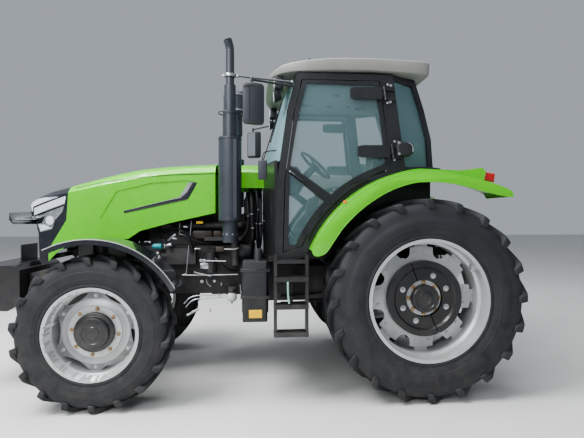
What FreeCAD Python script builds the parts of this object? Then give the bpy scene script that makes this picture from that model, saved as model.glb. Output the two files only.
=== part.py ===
# Farm tractor with a cab, as separate pieces that are joined the way the real machine is.
# Millimetres. Outlines are drawn from the rear axle at ground level: x forward, y to the
# tractor's left, z up. Every finished piece then moves back by axle_back, so that the part's
# origin is on the ground in the middle of its length and width.
import FreeCAD, Part
import Sketcher
import math
import os
import re
from FreeCAD import Placement, Rotation, Vector

# name of the size, its value, what it is
SIZES = [
    ("axle_back", 1450, "rear axle behind the part's origin"),
    ("wheelbase", 2700, "rear axle to front axle"),
    ("rear_radius", 845, "rear tyre over its lugs"),
    ("rear_half", 215, "half the rear tyre's width"),
    ("rear_lug", 38, "height of a rear lug"),
    ("rear_bead", 492, "radius of the rear tyre's bead"),
    ("rear_seat", 186, "half the width between the rear tyre's beads"),
    ("rear_track", 800, "middle of the tractor to the middle of a rear tyre"),
    ("rear_disc", 18, "rear disc inboard of the middle of its rim"),
    ("front_radius", 616, "front tyre over its lugs"),
    ("front_half", 172, "half the front tyre's width"),
    ("front_lug", 30, "height of a front lug"),
    ("front_bead", 352, "radius of the front tyre's bead"),
    ("front_seat", 148, "half the width between the front tyre's beads"),
    ("front_track", 800, "middle of the tractor to the middle of a front tyre"),
    ("front_disc", 8, "front disc outboard of the middle of its rim"),
    ("bead_gap", 0.3, "rim barrel inside the tyre's bead"),
    ("rim_wall", 9, "thickness of a rim's sheet"),
    ("rim_flange", 18, "height of a rim's flange over the bead"),
    ("rim_edge", 8, "thickness of a rim's flange"),
    ("disc_thick", 12, "thickness of a wheel disc"),
    ("kingpin_out", 620, "middle of the tractor to a kingpin"),
    ("beam_half", 75, "half the height of the front axle beam"),
    ("chassis_half", 200, "half the width of the gearbox housing"),
    ("chassis_low", 720, "underside of the gearbox housing"),
    ("engine_half", 205, "half the width of the engine block"),
    ("engine_rear", 1420, "rear face of the engine"),
    ("hood_half", 385, "half the hood's width"),
    ("hood_top_half", 300, "half the width of the hood's top"),
    ("hood_wall", 9, "thickness of the hood's skin"),
    ("hood_round", 9, "bulge of the hood's shoulder"),
    ("hood_recess", 6, "depth of the panel sunk in the hood's side"),
    ("hood_rear", 1790, "rear edge of the hood"),
    ("hood_gap", 46, "gap between the hood and the cowl behind it"),
    ("bulkhead", 1345, "front of the cab's bulkhead"),
    ("cab_half", 800, "half the cab's width at its waist"),
    ("cab_top_half", 740, "half the cab's width under the roof"),
    ("waist", 1840, "height of the cab's waist"),
    ("shoulder", 2430, "height where the cab's sides start to lean in"),
    ("roof_seat", 2762, "underside of the roof"),
    ("floor_top", 1190, "top of the cab floor"),
    ("floor_thick", 36, "thickness of the cab floor"),
    ("frame_thick", 42, "thickness of the cab's side frames"),
    ("door_thick", 34, "thickness of a door"),
    ("door_gap", 7, "gap round a door"),
    ("glass_thick", 6, "thickness of the glass"),
    ("fender_arc", 1060, "radius of the rear fender"),
    ("band_arc", 1120, "radius of the band over the rear fender"),
    ("fender_in", 560, "inner edge of the rear fender"),
    ("fender_out", 985, "outer edge of the rear fender"),
    ("fender_wall", 8, "thickness of the rear fender"),
    ("fender_lip", 118, "height of the rear fender's outer lip"),
    ("guard_arc", 745, "radius of the front mudguard"),
    ("guard_in", 636, "inner edge of the front mudguard"),
    ("guard_out", 988, "outer edge of the front mudguard"),
    ("guard_wall", 7, "thickness of the front mudguard"),
    ("stack_x", 1643, "exhaust stack ahead of the rear axle"),
    ("stack_out", 590, "exhaust stack from the middle"),
    ("muffler", 100, "radius of the exhaust silencer"),
    ("link_reach", 744, "length of a lower link between its eyes"),
    ("link_drop", 6, "fall of the lower links toward the rear, in degrees"),
    ("link_eye", 50, "radius of a lower link's rear eye"),
    ("arm_reach", 400, "length of a lift arm between its eyes"),
    ("link_pivot_x", -260, "front eye of the lower links"),
    ("link_pivot_z", 590, "height of the lower links' front eyes"),
    ("rod_length", 615, "length of a lift rod between its eyes"),
    ("link_in", 240, "front eye of a lower link from the middle"),
    ("link_out", 425, "rear eye of a lower link from the middle"),
    ("link_bore", 14.4, "radius of the bore in a lower link's ball"),
    ("drawbar_bore", 15.5, "radius of the drawbar's pin hole"),
    ("weight_reach", 1250, "front axle to the front face of the front weights"),
]

doc = FreeCAD.newDocument("farm_tractor")
sheet = doc.addObject("Spreadsheet::Sheet", "sizes")
for row, (alias, size, words) in enumerate(SIZES, start=1):
    sheet.set("A%d" % row, words)
    sheet.set("B%d" % row, str(size))
    sheet.setAlias("B%d" % row, alias)
doc.recompute()
ALIASES = {alias for alias, size, words in SIZES}


def named(text):
    """The text of an expression, with each size's name pointed at its cell."""
    return re.sub(r"[a-z_]+", lambda m: "sizes." + m[0] if m[0] in ALIASES else m[0], str(text))


def number(text):
    """The value of an expression in the sheet's sizes, in millimetres or degrees."""
    result = sheet.evalExpression(named(text))
    return float(getattr(result, "Value", result))


def bind(thing, **properties):
    """Bind properties of an object to expressions; axis_ stands for a placement's part."""
    for key, text in properties.items():
        path = {"at_x": "Placement.Base.x", "at_y": "Placement.Base.y",
                "at_z": "Placement.Base.z"}.get(key, key)
        thing.setExpression(path, named(text))


NODES = {}


def node(label, thing, placed=False):
    """Keep a finished piece under its own name, moved back to the part's origin."""
    if not placed:
        bind(thing, at_x="0 - axle_back")
    thing.Label = label
    NODES[label] = thing
    return thing


def mirrored(label, source):
    """The right-hand copy of a left-hand piece."""
    copy = doc.addObject("Part::Mirroring", label)
    copy.Source = source
    copy.Base = Vector(0, 0, 0)
    copy.Normal = Vector(0, 1, 0)
    return node(label, copy, placed=True)


def arc_centre(start, end, radius):
    """Centre of the arc that turns left round from start to end, or right if radius < 0."""
    middle = (start + end) * 0.5
    half = (end - start) * 0.5
    rise = math.sqrt(max(radius * radius - half.Length ** 2, 0))
    side = Vector(-half.y, half.x, 0).normalize()
    return middle + side * math.copysign(rise, radius)


VIEWS = {
    "side": Rotation(Vector(1, 0, 0), 90),
    "plan": Rotation(),
    "front": Rotation(Vector(1, 1, 1), 120),
}
DIRECTIONS = {"side": Vector(0, 1, 0), "plan": Vector(0, 0, 1), "front": Vector(1, 0, 0)}


def fill_sketch(sketch, points):
    """A closed outline: (a, b) ends a line and (a, b, radius) ends an arc, all bound."""
    spots = [Vector(number(p[0]), number(p[1]), 0) for p in points]
    count = len(points)
    for i, point in enumerate(points):
        start, end = spots[i - 1], spots[i]
        if len(point) == 2:
            sketch.addGeometry(Part.LineSegment(start, end), False)
            continue
        radius = number(point[2])
        centre = arc_centre(start, end, radius)
        first, last = (start, end) if radius > 0 else (end, start)
        angles = [math.atan2(s.y - centre.y, s.x - centre.x) for s in (first, last)]
        circle = Part.Circle(centre, Vector(0, 0, 1), abs(radius))
        sketch.addGeometry(Part.ArcOfCircle(circle, angles[0], angles[1]), False)
    ends = [2 if len(p) == 2 or number(p[2]) > 0 else 1 for p in points]
    for i, point in enumerate(points):
        after = (i + 1) % count
        sketch.addConstraint(Sketcher.Constraint("Coincident", i, ends[i], after, 3 - ends[after]))
    for i, point in enumerate(points):
        for kind, spot, text in (("DistanceX", spots[i].x, point[0]),
                                 ("DistanceY", spots[i].y, point[1])):
            held = sketch.addConstraint(Sketcher.Constraint(kind, -1, 1, i, ends[i], spot))
            sketch.setExpression("Constraints[%d]" % held, named(text))
        if len(point) == 3:
            held = sketch.addConstraint(Sketcher.Constraint("Radius", i, abs(number(point[2]))))
            sketch.setExpression("Constraints[%d]" % held, "abs(%s)" % named(point[2]))


def outline(name, view, points, at=0):
    """A bound sketch in one of the three views, moved along that view's direction."""
    sketch = doc.addObject("Sketcher::SketchObject", name)
    sketch.Placement = Placement(Vector(0, 0, 0), VIEWS[view])
    bind(sketch, **{{"side": "at_y", "plan": "at_z", "front": "at_x"}[view]: at})
    fill_sketch(sketch, points)
    return sketch


def slab(name, view, points, low, high):
    """An outline extruded from low to high along its view's direction."""
    solid = doc.addObject("Part::Extrusion", name)
    solid.Base = outline(name + "_outline", view, points)
    solid.DirMode = "Custom"
    solid.Dir = DIRECTIONS[view]
    solid.Solid = True
    bind(solid, LengthFwd=high, LengthRev="0 - (%s)" % low)
    return solid


def block(name, low, high):
    """A box between two corners."""
    box = doc.addObject("Part::Box", name)
    for key, prop, a, b in zip(("at_x", "at_y", "at_z"), ("Length", "Width", "Height"), low, high):
        bind(box, **{key: a, prop: "(%s) - (%s)" % (b, a)})
    return box


AIMS = {"x": Rotation(Vector(0, 1, 0), 90), "y": Rotation(Vector(1, 0, 0), -90), "z": Rotation()}


def rod(name, along, start, length, radius, radius_end=None):
    """A round bar, or a cone, along an axis."""
    kind = "Part::Cylinder" if radius_end is None else "Part::Cone"
    bar = doc.addObject(kind, name)
    bar.Placement = Placement(Vector(0, 0, 0), AIMS[along])
    bind(bar, at_x=start[0], at_y=start[1], at_z=start[2], Height=length)
    if radius_end is None:
        bind(bar, Radius=radius)
    else:
        bind(bar, Radius1=radius, Radius2=radius_end)
    return bar


def fused(name, *parts):
    """Several solids joined into one piece, or kept together where they don't touch."""
    whole = doc.addObject("Part::MultiFuse", name)
    whole.Shapes = list(parts)
    whole.Refine = True
    return whole


def cut(name, base, tool):
    rest = doc.addObject("Part::Cut", name)
    rest.Base = base
    rest.Tool = tool
    rest.Refine = True
    return rest


def common(name, one, other):
    shared = doc.addObject("Part::MultiCommon", name)
    shared.Shapes = [one, other]
    shared.Refine = True
    return shared


def both_sides(name, piece):
    """A left-hand solid and its right-hand copy in one piece."""
    copy = doc.addObject("Part::Mirroring", name + "_right")
    copy.Source = piece
    copy.Base = Vector(0, 0, 0)
    copy.Normal = Vector(0, 1, 0)
    return fused(name, piece, copy)


def made(name, shape):
    """A piece whose shape is worked out here, from the sheet's sizes."""
    feature = doc.addObject("Part::Feature", name)
    feature.Shape = shape
    return feature


def strut(name, start, end, radius):
    """A round bar between two points."""
    a, b = (Vector(*[number(v) for v in p]) for p in (start, end))
    return made(name, Part.makeCylinder(number(radius), (b - a).Length, a, b - a))


def turned(name, along, centre, points):
    """An outline of (radius, place along the axis) turned round an axis."""
    sketch = doc.addObject("Sketcher::SketchObject", name + "_outline")
    sketch.Placement = Placement(Vector(0, 0, 0), VIEWS["side"])
    fill_sketch(sketch, points)
    solid = doc.addObject("Part::Revolution", name)
    solid.Source = sketch
    solid.Axis = Vector(0, 0, 1)
    solid.Base = Vector(0, 0, 0)
    solid.Angle = 360
    solid.Solid = True
    solid.Placement = Placement(Vector(0, 0, 0), AIMS[along])
    bind(solid, at_x=centre[0], at_y=centre[1], at_z=centre[2])
    return solid


# Tyres: closed rings of flat facets, with two rows of slanting bars that meet the sidewalls


def on_circle(angle, radius, height):
    return Vector(radius * math.cos(angle), radius * math.sin(angle), height)


def patch(corners):
    """Four corners as one flat face, or as two where they don't lie in a plane."""
    a, b, c, d = corners
    if abs((b - a).cross(c - a).normalize().dot(d - a)) < 1e-6:
        return [Part.Face(Part.makePolygon([a, b, c, d, a]))]
    return [Part.Face(Part.makePolygon([a, b, c, a])), Part.Face(Part.makePolygon([a, c, d, a]))]


def closed_solid(faces):
    shell = Part.Shell(faces)
    shell.sewShape()
    solid = Part.Solid(Part.Shell(shell.Faces))
    if solid.Volume < 0:
        solid.reverse()
    return solid


def tyre(name, end, lugs, sweep, bar):
    """A tyre about z; sweep is how far a lug falls back round the tyre toward its shoulder."""
    radius, half, lug, bead, seat = (number("%s_%s" % (end, word))
                                     for word in ("radius", "half", "lug", "bead", "seat"))
    carcass = radius - lug
    bulge = bead + (carcass - bead) * 0.45
    pitch = math.tau / lugs
    nose = math.pi / 2 - bar / radius
    # lag of the lug, half its width, then radius and height of its top and of its foot
    stations = [
        (0, bar, (radius, 6), (carcass, 6)),
        (sweep, bar * 1.15, (radius - 8, half - 9), (carcass - 10, half - 24)),
        (sweep * 1.1, bar * 1.15, (radius - 78, half), (radius - 80, half - 15)),
    ]
    gap_turn = pitch / 2 - bar * 1.15 / radius
    walls = [(bulge, half - 2), (bead / math.cos(gap_turn), seat)]
    faces = []
    rims = {}
    for side in (1, -1):
        tops, feet, rings = [], [], []
        for lag, wide, top, foot in stations:
            angles = [nose + pitch * (k + (side < 0) * 0.5) - lag + turn * wide / radius
                      for k in range(lugs) for turn in (-1, 1)]
            tops.append([on_circle(a, top[0], side * top[1]) for a in angles])
            feet.append([on_circle(a, foot[0], side * foot[1]) for a in angles])
        rings = [feet[-1]] + [[on_circle(a, r, side * z) for a in angles] for r, z in walls]
        count = len(angles)
        for i in range(0, count, 2):
            k, after = i + 1, (i + 2) % count
            for j in range(len(stations) - 1):
                faces += patch([tops[j][i], tops[j][k], tops[j + 1][k], tops[j + 1][i]])
                faces += patch([feet[j][i], tops[j][i], tops[j + 1][i], feet[j + 1][i]])
                faces += patch([feet[j][k], tops[j][k], tops[j + 1][k], feet[j + 1][k]])
                faces += patch([feet[j][k], feet[j][after], feet[j + 1][after], feet[j + 1][k]])
            for j in (0, -1):
                faces += patch([feet[j][i], feet[j][k], tops[j][k], tops[j][i]])
        for one, two in zip(rings, rings[1:]):
            for i in range(count):
                faces += patch([one[i], one[i - 1], two[i - 1], two[i]])
        rims[side] = (feet[0], rings[-1])
    for left_ring, right_ring in zip(rims[1], rims[-1]):
        for i in range(len(left_ring)):
            faces += patch([left_ring[i], left_ring[i - 1], right_ring[i - 2], right_ring[i - 1]])
    return made(name, closed_solid(faces))


# Wheels: a rim with its disc, made about z with the outboard side up

def rim(name, end, lobes, disc_radius, notch, hub):
    """A rim, its brackets, a lobed disc and the hub; hub is (radius, height) steps."""
    seat, bead = "%s_seat" % end, "%s_bead - bead_gap" % end
    middle = "%s_disc" % end
    edge = "%s_bead + rim_flange" % end
    disc_low = "0 - %s" % middle if end == "rear" else middle
    body = doc.addObject("PartDesign::Body", name)
    plane = [f for f in body.Origin.OriginFeatures if f.Role == "XY_Plane"][0]
    side_plane = [f for f in body.Origin.OriginFeatures if f.Role == "XZ_Plane"][0]

    def flat_sketch(words, height):
        sketch = body.newObject("Sketcher::SketchObject", "%s_%s" % (name, words))
        sketch.AttachmentSupport = [(plane, "")]
        sketch.MapMode = "FlatFace"
        sketch.setExpression("AttachmentOffset.Base.z", named(height))
        return sketch

    def circle_in(sketch, x, y, radius):
        held = sketch.addGeometry(Part.Circle(Vector(number(x), number(y), 0), Vector(0, 0, 1),
                                              number(radius)), False)
        for kind, spot in (("DistanceX", x), ("DistanceY", y)):
            made_at = sketch.addConstraint(
                Sketcher.Constraint(kind, -1, 1, held, 3, number(spot)))
            sketch.setExpression("Constraints[%d]" % made_at, named(spot))
        made_at = sketch.addConstraint(Sketcher.Constraint("Radius", held, number(radius)))
        sketch.setExpression("Constraints[%d]" % made_at, named(radius))

    def pattern(feature, words, count):
        ring = body.newObject("PartDesign::PolarPattern", "%s_%s" % (name, words))
        ring.Originals = [feature]
        axis = [f for f in body.Origin.OriginFeatures if f.Role == "Z_Axis"][0]
        ring.Axis = (axis, [""])
        ring.Angle = 360
        ring.Occurrences = count
        body.Tip = ring
        return ring

    disc_sketch = flat_sketch("disc_outline", disc_low)
    circle_in(disc_sketch, "0", "0", disc_radius)
    disc = body.newObject("PartDesign::Pad", name + "_disc")
    disc.Profile = disc_sketch
    disc.setExpression("Length", named("disc_thick"))
    doc.recompute()

    notch_sketch = flat_sketch("notch_outline", disc_low + " + disc_thick")
    turn = 180.0 / lobes
    notch_x = "(%s) * cos(%s deg)" % (notch[0], turn)
    notch_y = "(%s) * sin(%s deg)" % (notch[0], turn)
    circle_in(notch_sketch, notch_x, notch_y, notch[1])
    notch_cut = body.newObject("PartDesign::Pocket", name + "_notch")
    notch_cut.Profile = notch_sketch
    notch_cut.setExpression("Length", named("disc_thick"))
    doc.recompute()
    pattern(notch_cut, "notches", lobes)
    doc.recompute()

    bracket_sketch = flat_sketch("bracket_outline", disc_low + " - disc_thick")
    inner, outer = "(%s) - 40" % disc_radius, bead + " - rim_wall / 2"
    fill_sketch(bracket_sketch, [(inner, "0 - 45"), (outer, "0 - 62"), (outer, "62"),
                                 (inner, "45")])
    bracket = body.newObject("PartDesign::Pad", name + "_bracket")
    bracket.Profile = bracket_sketch
    bracket.setExpression("Length", named("disc_thick"))
    doc.recompute()
    pattern(bracket, "brackets", lobes)
    doc.recompute()

    barrel_sketch = body.newObject("Sketcher::SketchObject", name + "_barrel_outline")
    barrel_sketch.AttachmentSupport = [(side_plane, "")]
    barrel_sketch.MapMode = "FlatFace"
    lip_in, lip_out = seat + " + 4", seat + " + 4 + rim_edge"
    fill_sketch(barrel_sketch, [
        (bead, "0 - (%s)" % lip_in), (bead, lip_in), (edge, lip_in), (edge, lip_out),
        (bead + " - rim_wall", lip_out), (bead + " - rim_wall", seat + " * 0.5"),
        (bead + " - rim_wall - 22", seat + " * 0.4"),
        (bead + " - rim_wall - 22", "0 - " + seat + " * 0.4"),
        (bead + " - rim_wall", "0 - " + seat + " * 0.5"),
        (bead + " - rim_wall", "0 - (%s)" % lip_out), (edge, "0 - (%s)" % lip_out),
        (edge, "0 - (%s)" % lip_in)])
    barrel = body.newObject("PartDesign::Revolution", name + "_barrel")
    barrel.Profile = barrel_sketch
    barrel.ReferenceAxis = (barrel_sketch, ["V_Axis"])
    barrel.Angle = 360
    doc.recompute()

    dish_sketch = body.newObject("Sketcher::SketchObject", name + "_hub_outline")
    dish_sketch.AttachmentSupport = [(side_plane, "")]
    dish_sketch.MapMode = "FlatFace"
    steps = [("0", disc_low + " - 60")]
    steps.append((hub[0][0], disc_low + " - 60"))
    for radius, height in hub:
        steps.append((radius, steps[-1][1]) if steps[-1][0] != radius else steps[-1])
        steps.append((radius, "%s + %s" % (disc_low, height)))
    steps.append(("0", steps[-1][1]))
    clean = [p for i, p in enumerate(steps) if i == 0 or p != steps[i - 1]]
    fill_sketch(dish_sketch, clean)
    dish = body.newObject("PartDesign::Revolution", name + "_hub")
    dish.Profile = dish_sketch
    dish.ReferenceAxis = (dish_sketch, ["V_Axis"])
    dish.Angle = 360
    doc.recompute()
    body.Tip = dish
    return body


def wheel_place(piece, at_x, track, height):
    """Turn a wheel's piece so that its axis lies across the tractor, and set it in place."""
    piece.Placement = Placement(Vector(0, 0, 0), AIMS["y"])
    bind(piece, at_x="%s - axle_back" % at_x, at_y=track, at_z=height)
    return piece


# end, x of its axle, lugs a side, sweep, half a bar's width, lobes, disc, notch, hub
WHEELS = [
    ("rear", "0", 20, math.radians(15), 28, 8, "400", ("440", "88"),
     [("330", 20), ("322", 32), ("150", 62), ("112", 118)]),
    ("front", "wheelbase", 18, math.radians(16), 23, 6, "310", ("560", "286"),
     [("216", 34), ("156", 60), ("120", 96)]),
]
for end, at_x, lugs, sweep, bar, lobes, disc_radius, notch, hub in WHEELS:
    label = "%s_tyre_left" % end
    left = wheel_place(tyre(label, end, lugs, sweep, bar), at_x, end + "_track",
                       end + "_radius")
    node(label, left, placed=True)
    mirrored("%s_tyre_right" % end, left)
    label = "%s_rim_left" % end
    left = wheel_place(rim(label, end, lobes, disc_radius, notch, hub), at_x, end + "_track",
                       end + "_radius")
    node(label, left, placed=True)
    mirrored("%s_rim_right" % end, left)


# Rear wheel weights: two half discs, parted by a slanting line

def wheel_weights(name):
    plate = turned(name + "_plate", "z", ("0", "0", "0"), [
        ("158", "0 - rear_disc + disc_thick + 20.5"), ("318", "0 - rear_disc + disc_thick + 20.5"),
        ("318", "0 - rear_disc + disc_thick + 88"), ("268", "0 - rear_disc + disc_thick + 88"),
        ("252", "0 - rear_disc + disc_thick + 70"), ("158", "0 - rear_disc + disc_thick + 70")])
    reach = 340
    slot_shape = Part.makeBox(2 * reach, 8, 300, Vector(-reach, -4, -100))
    slot_shape.rotate(Vector(0, 0, 0), Vector(0, 0, 1), 112)
    slot = made(name + "_slot", slot_shape)
    weights = cut(name, plate, slot)
    return wheel_place(weights, "0", "rear_track", "rear_radius")


left = node("wheel_weight_left", wheel_weights("wheel_weights"), placed=True)
mirrored("wheel_weight_right", left)

# Driveline, engine and front frame

trumpet = rod("axle_trumpet", "y", ("0", "170", "rear_radius"), "400", "112", "84")
flange = rod("axle_flange", "y", ("0", "560", "rear_radius"),
             "rear_track - rear_disc - 60 - 560", "118")
collar = rod("axle_collar", "y", ("0", "510", "rear_radius"), "60", "100")
half_axle = both_sides("half_axles", fused("half_axle", trumpet, collar, flange))
centre_case = slab("centre_case", "side", [
    ("0 - 235", "660"), ("260", "660"), ("260", "1085"), ("0 - 60", "1085"), ("0 - 235", "1010")],
    "0 - chassis_half + 10", "chassis_half - 10")
node("rear_axle_housing", fused("rear_axle_housing", half_axle, centre_case))

gearbox = slab("gearbox_case", "side", [
    ("260", "chassis_low"), ("engine_rear", "chassis_low"), ("engine_rear", "1090"),
    ("1100", "1090"), ("1020", "1060"), ("260", "1060")],
    "0 - chassis_half", "chassis_half")
ribs = [slab("gearbox_rib_%d" % k, "side", [
    (x, "chassis_low - 14"), (x + 24, "chassis_low - 14"), (x + 24, "1085"), (x, "1085")],
    "0 - chassis_half - 14", "chassis_half + 14") for k, x in enumerate((330, 700, 1060, 1380))]
node("gearbox_housing", fused("gearbox_housing", gearbox, *ribs))

crankcase = slab("crankcase", "side", [
    ("engine_rear", "860"), ("engine_rear + 160", "800"), ("wheelbase - 260", "800"),
    ("wheelbase - 220", "870"), ("wheelbase - 220", "1260"), ("engine_rear", "1260")],
    "0 - engine_half", "engine_half")
head = slab("cylinder_head", "side", [
    ("engine_rear + 40", "1250"), ("wheelbase - 260", "1250"), ("wheelbase - 260", "1440"),
    ("wheelbase - 300", "1490"), ("engine_rear + 80", "1490"), ("engine_rear + 40", "1440")],
    "0 - 150", "150")
rocker = slab("rocker_cover", "side", [
    ("engine_rear + 100", "1480"), ("wheelbase - 320", "1480"), ("wheelbase - 330", "1560"),
    ("engine_rear + 110", "1560")], "0 - 95", "95")
node("engine_block", fused("engine_block", crankcase, head, rocker))

# x, y, height and radius of the round things on the engine's left, then the boxes
pipes = [
    rod("intake_log", "x", ("engine_rear + 130", "205", "1450"), "760", "34"),
    rod("exhaust_log", "x", ("engine_rear + 110", "0 - 215", "1420"), "820", "38"),
    rod("turbo", "x", ("engine_rear + 250", "0 - 262", "1500"), "150", "72"),
    rod("turbo_neck", "y", ("engine_rear + 320", "0 - 240", "1440"), "40", "30"),
    rod("intake_foot_one", "y", ("engine_rear + 260", "150", "1445"), "50", "22"),
    rod("intake_foot_two", "y", ("engine_rear + 520", "150", "1445"), "50", "22"),
    rod("intake_foot_three", "y", ("engine_rear + 780", "150", "1445"), "50", "22"),
    rod("exhaust_foot_one", "y", ("engine_rear + 260", "0 - 210", "1420"), "60", "24"),
    rod("exhaust_foot_two", "y", ("engine_rear + 780", "0 - 210", "1420"), "60", "24"),
]
node("engine_pipes", fused("engine_pipes", *pipes))

filters = [
    rod("fuel_filter", "z", ("engine_rear + 190", "270", "1160"), "150", "46"),
    rod("fuel_filter_bowl", "z", ("engine_rear + 190", "270", "1075"), "85", "38"),
    rod("oil_filter", "z", ("engine_rear + 420", "265", "1010"), "190", "52"),
    block("filter_head", ("engine_rear + 130", "150", "1310"),
          ("engine_rear + 480", "engine_half + 110", "1345")),
    block("pump_body", ("engine_rear + 560", "engine_half", "1090"),
          ("engine_rear + 830", "engine_half + 95", "1240")),
    rod("pump_nose", "x", ("engine_rear + 820", "engine_half + 50", "1165"), "60", "48"),
    block("alternator_foot", ("wheelbase - 340", "0 - engine_half - 40", "1120"),
          ("wheelbase - 250", "0 - engine_half", "1200")),
    rod("alternator", "x", ("wheelbase - 380", "0 - engine_half - 88", "1160"), "170", "62"),
    rod("starter", "x", ("engine_rear + 60", "0 - engine_half - 60", "960"), "260", "55"),
    block("starter_foot", ("engine_rear + 120", "0 - engine_half - 30", "930"),
          ("engine_rear + 220", "0 - engine_half", "990")),
    block("oil_filter_foot", ("engine_rear + 390", "engine_half", "1190"),
          ("engine_rear + 450", "engine_half + 60", "1230")),
    block("fuel_filter_foot", ("engine_rear + 160", "engine_half + 20", "1305"),
          ("engine_rear + 220", "engine_half + 80", "1312")),
]
node("engine_filters", fused("engine_filters", *filters))

core = slab("radiator_core", "side", [
    ("wheelbase + 210", "1075"), ("wheelbase + 340", "1075"), ("wheelbase + 340", "1610"),
    ("wheelbase + 210", "1670")], "0 - 290", "290")
shroud = turned("fan_shroud", "x", ("wheelbase - 60", "0", "1350"), [
    ("262", "0"), ("270", "0"), ("270", "271"), ("262", "271")])
fan_hub = rod("fan_hub", "x", ("wheelbase - 260", "0", "1350"), "300", "58")
blades = []
for k in range(7):
    blade = block("fan_blade_%d" % k, ("0 - 4", "40", "0 - 45"), ("4", "250", "45"))
    turn = Rotation(Vector(1, 0, 0), 360 * k / 7) * Rotation(Vector(0, 1, 0), 25)
    blade.Placement = Placement(Vector(0, 0, 0), turn)
    spot = turn.multVec(Vector(-4, 40, -45))
    bind(blade, at_x="wheelbase - 20 + %.4f" % spot.x, at_y="%.4f" % spot.y,
         at_z="1350 + %.4f" % spot.z)
    blades.append(blade)
node("radiator", fused("radiator", core, shroud, fan_hub, *blades))

rail_side = slab("frame_rail", "side", [
    ("wheelbase - 420", "900"), ("wheelbase - 260", "700"), ("wheelbase + 640", "700"),
    ("wheelbase + 800", "760"), ("wheelbase + 800", "1010"), ("wheelbase + 560", "1075"),
    ("wheelbase - 120", "1075"), ("wheelbase - 220", "1000"), ("wheelbase - 420", "1000")],
    "engine_half", "engine_half + 30")
rails = both_sides("frame_rails", rail_side)
bolster = block("bolster", ("wheelbase - 170", "0 - engine_half", "700"),
                ("wheelbase + 300", "engine_half", "870"))
cross = block("frame_nose", ("wheelbase + 700", "0 - engine_half", "760"),
              ("wheelbase + 800", "engine_half", "1010"))
deck = block("radiator_deck", ("wheelbase + 160", "0 - engine_half - 30", "1060"),
             ("wheelbase + 560", "engine_half + 30", "1075"))
axle_height = "front_radius - 6"
pivot = rod("axle_pivot", "x", ("wheelbase - 98", "0", axle_height), "196", "40")
hangers = [block("axle_hanger_%d" % k, ("wheelbase + %s" % a, "0 - 90", axle_height + " - 60"),
                 ("wheelbase + %s" % b, "90", "705")) for k, (a, b) in enumerate(((-98, -66), (66, 98)))]
node("front_frame", fused("front_frame", rails, bolster, cross, deck, pivot, *hangers))

# Front weights: a row of slabs hung on a bracket, with an upright plate above them
weights = slab("weights", "side", [
    ("wheelbase + 800", "760"), ("wheelbase + 900", "700"), ("wheelbase + weight_reach - 40", "700"),
    ("wheelbase + weight_reach", "760"), ("wheelbase + weight_reach", "1060"),
    ("wheelbase + weight_reach - 60", "1100"),
    ("wheelbase + 860", "1100"), ("wheelbase + 800", "1060")], "0 - 400", "400")
grooves = [block("weight_groove_%d" % k, ("wheelbase + 890", "%d" % (y - 3), "600"),
                 ("wheelbase + weight_reach + 100", "%d" % (y + 3), "1300"))
           for k, y in enumerate(range(-350, 351, 50))]
plate = block("weight_plate", ("wheelbase + 905", "0 - 150", "1101"),
              ("wheelbase + 917", "150", "1270"))
plate_foot = block("weight_plate_foot", ("wheelbase + 820", "0 - 170", "1080"),
                   ("wheelbase + 917", "170", "1112"))
node("front_weights", fused("front_weights", cut("weight_slabs", weights,
                            fused("weight_grooves", *grooves)), plate, plate_foot))

# Front axle: a beam with a kingpin at each end, and the knuckles that steer on them
beam = slab("beam", "front", [
    ("0 - kingpin_out + 62", axle_height + " - 45"), ("0 - 200", axle_height + " - beam_half"),
    ("200", axle_height + " - beam_half"), ("kingpin_out - 62", axle_height + " - 45"),
    ("kingpin_out - 62", axle_height + " + 45"), ("200", axle_height + " + beam_half - 12"),
    ("0 - 200", axle_height + " + beam_half - 12"), ("0 - kingpin_out + 62", axle_height + " + 45")],
    "wheelbase - 62", "wheelbase + 62")
lug = turned("beam_eye", "z", ("wheelbase", "kingpin_out", axle_height), [
    ("22.5", "0 - 62"), ("56", "0 - 62"), ("56", "62"), ("22.5", "62")])
lug_arm = block("beam_eye_arm", ("wheelbase - 45", "kingpin_out - 90", axle_height + " - 45"),
                ("wheelbase + 45", "kingpin_out - 40", axle_height + " + 45"))
ends = both_sides("beam_eyes", fused("beam_eye_left", lug, lug_arm))
cylinder = rod("steering_cylinder", "y", ("wheelbase - 140", "0 - 230", axle_height + " + 10"),
               "460", "34")
bracket = both_sides("cylinder_brackets", block("cylinder_bracket",
    ("wheelbase - 150", "150", axle_height + " - 30"),
    ("wheelbase - 60", "190", axle_height + " + 40")))
beam_bore = rod("beam_bore", "x", ("wheelbase - 98", "0", axle_height), "196", "40.3")
beam = cut("bored_beam", beam, beam_bore)
node("front_axle_beam", fused("front_axle_beam", beam, ends, cylinder, bracket))

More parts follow.
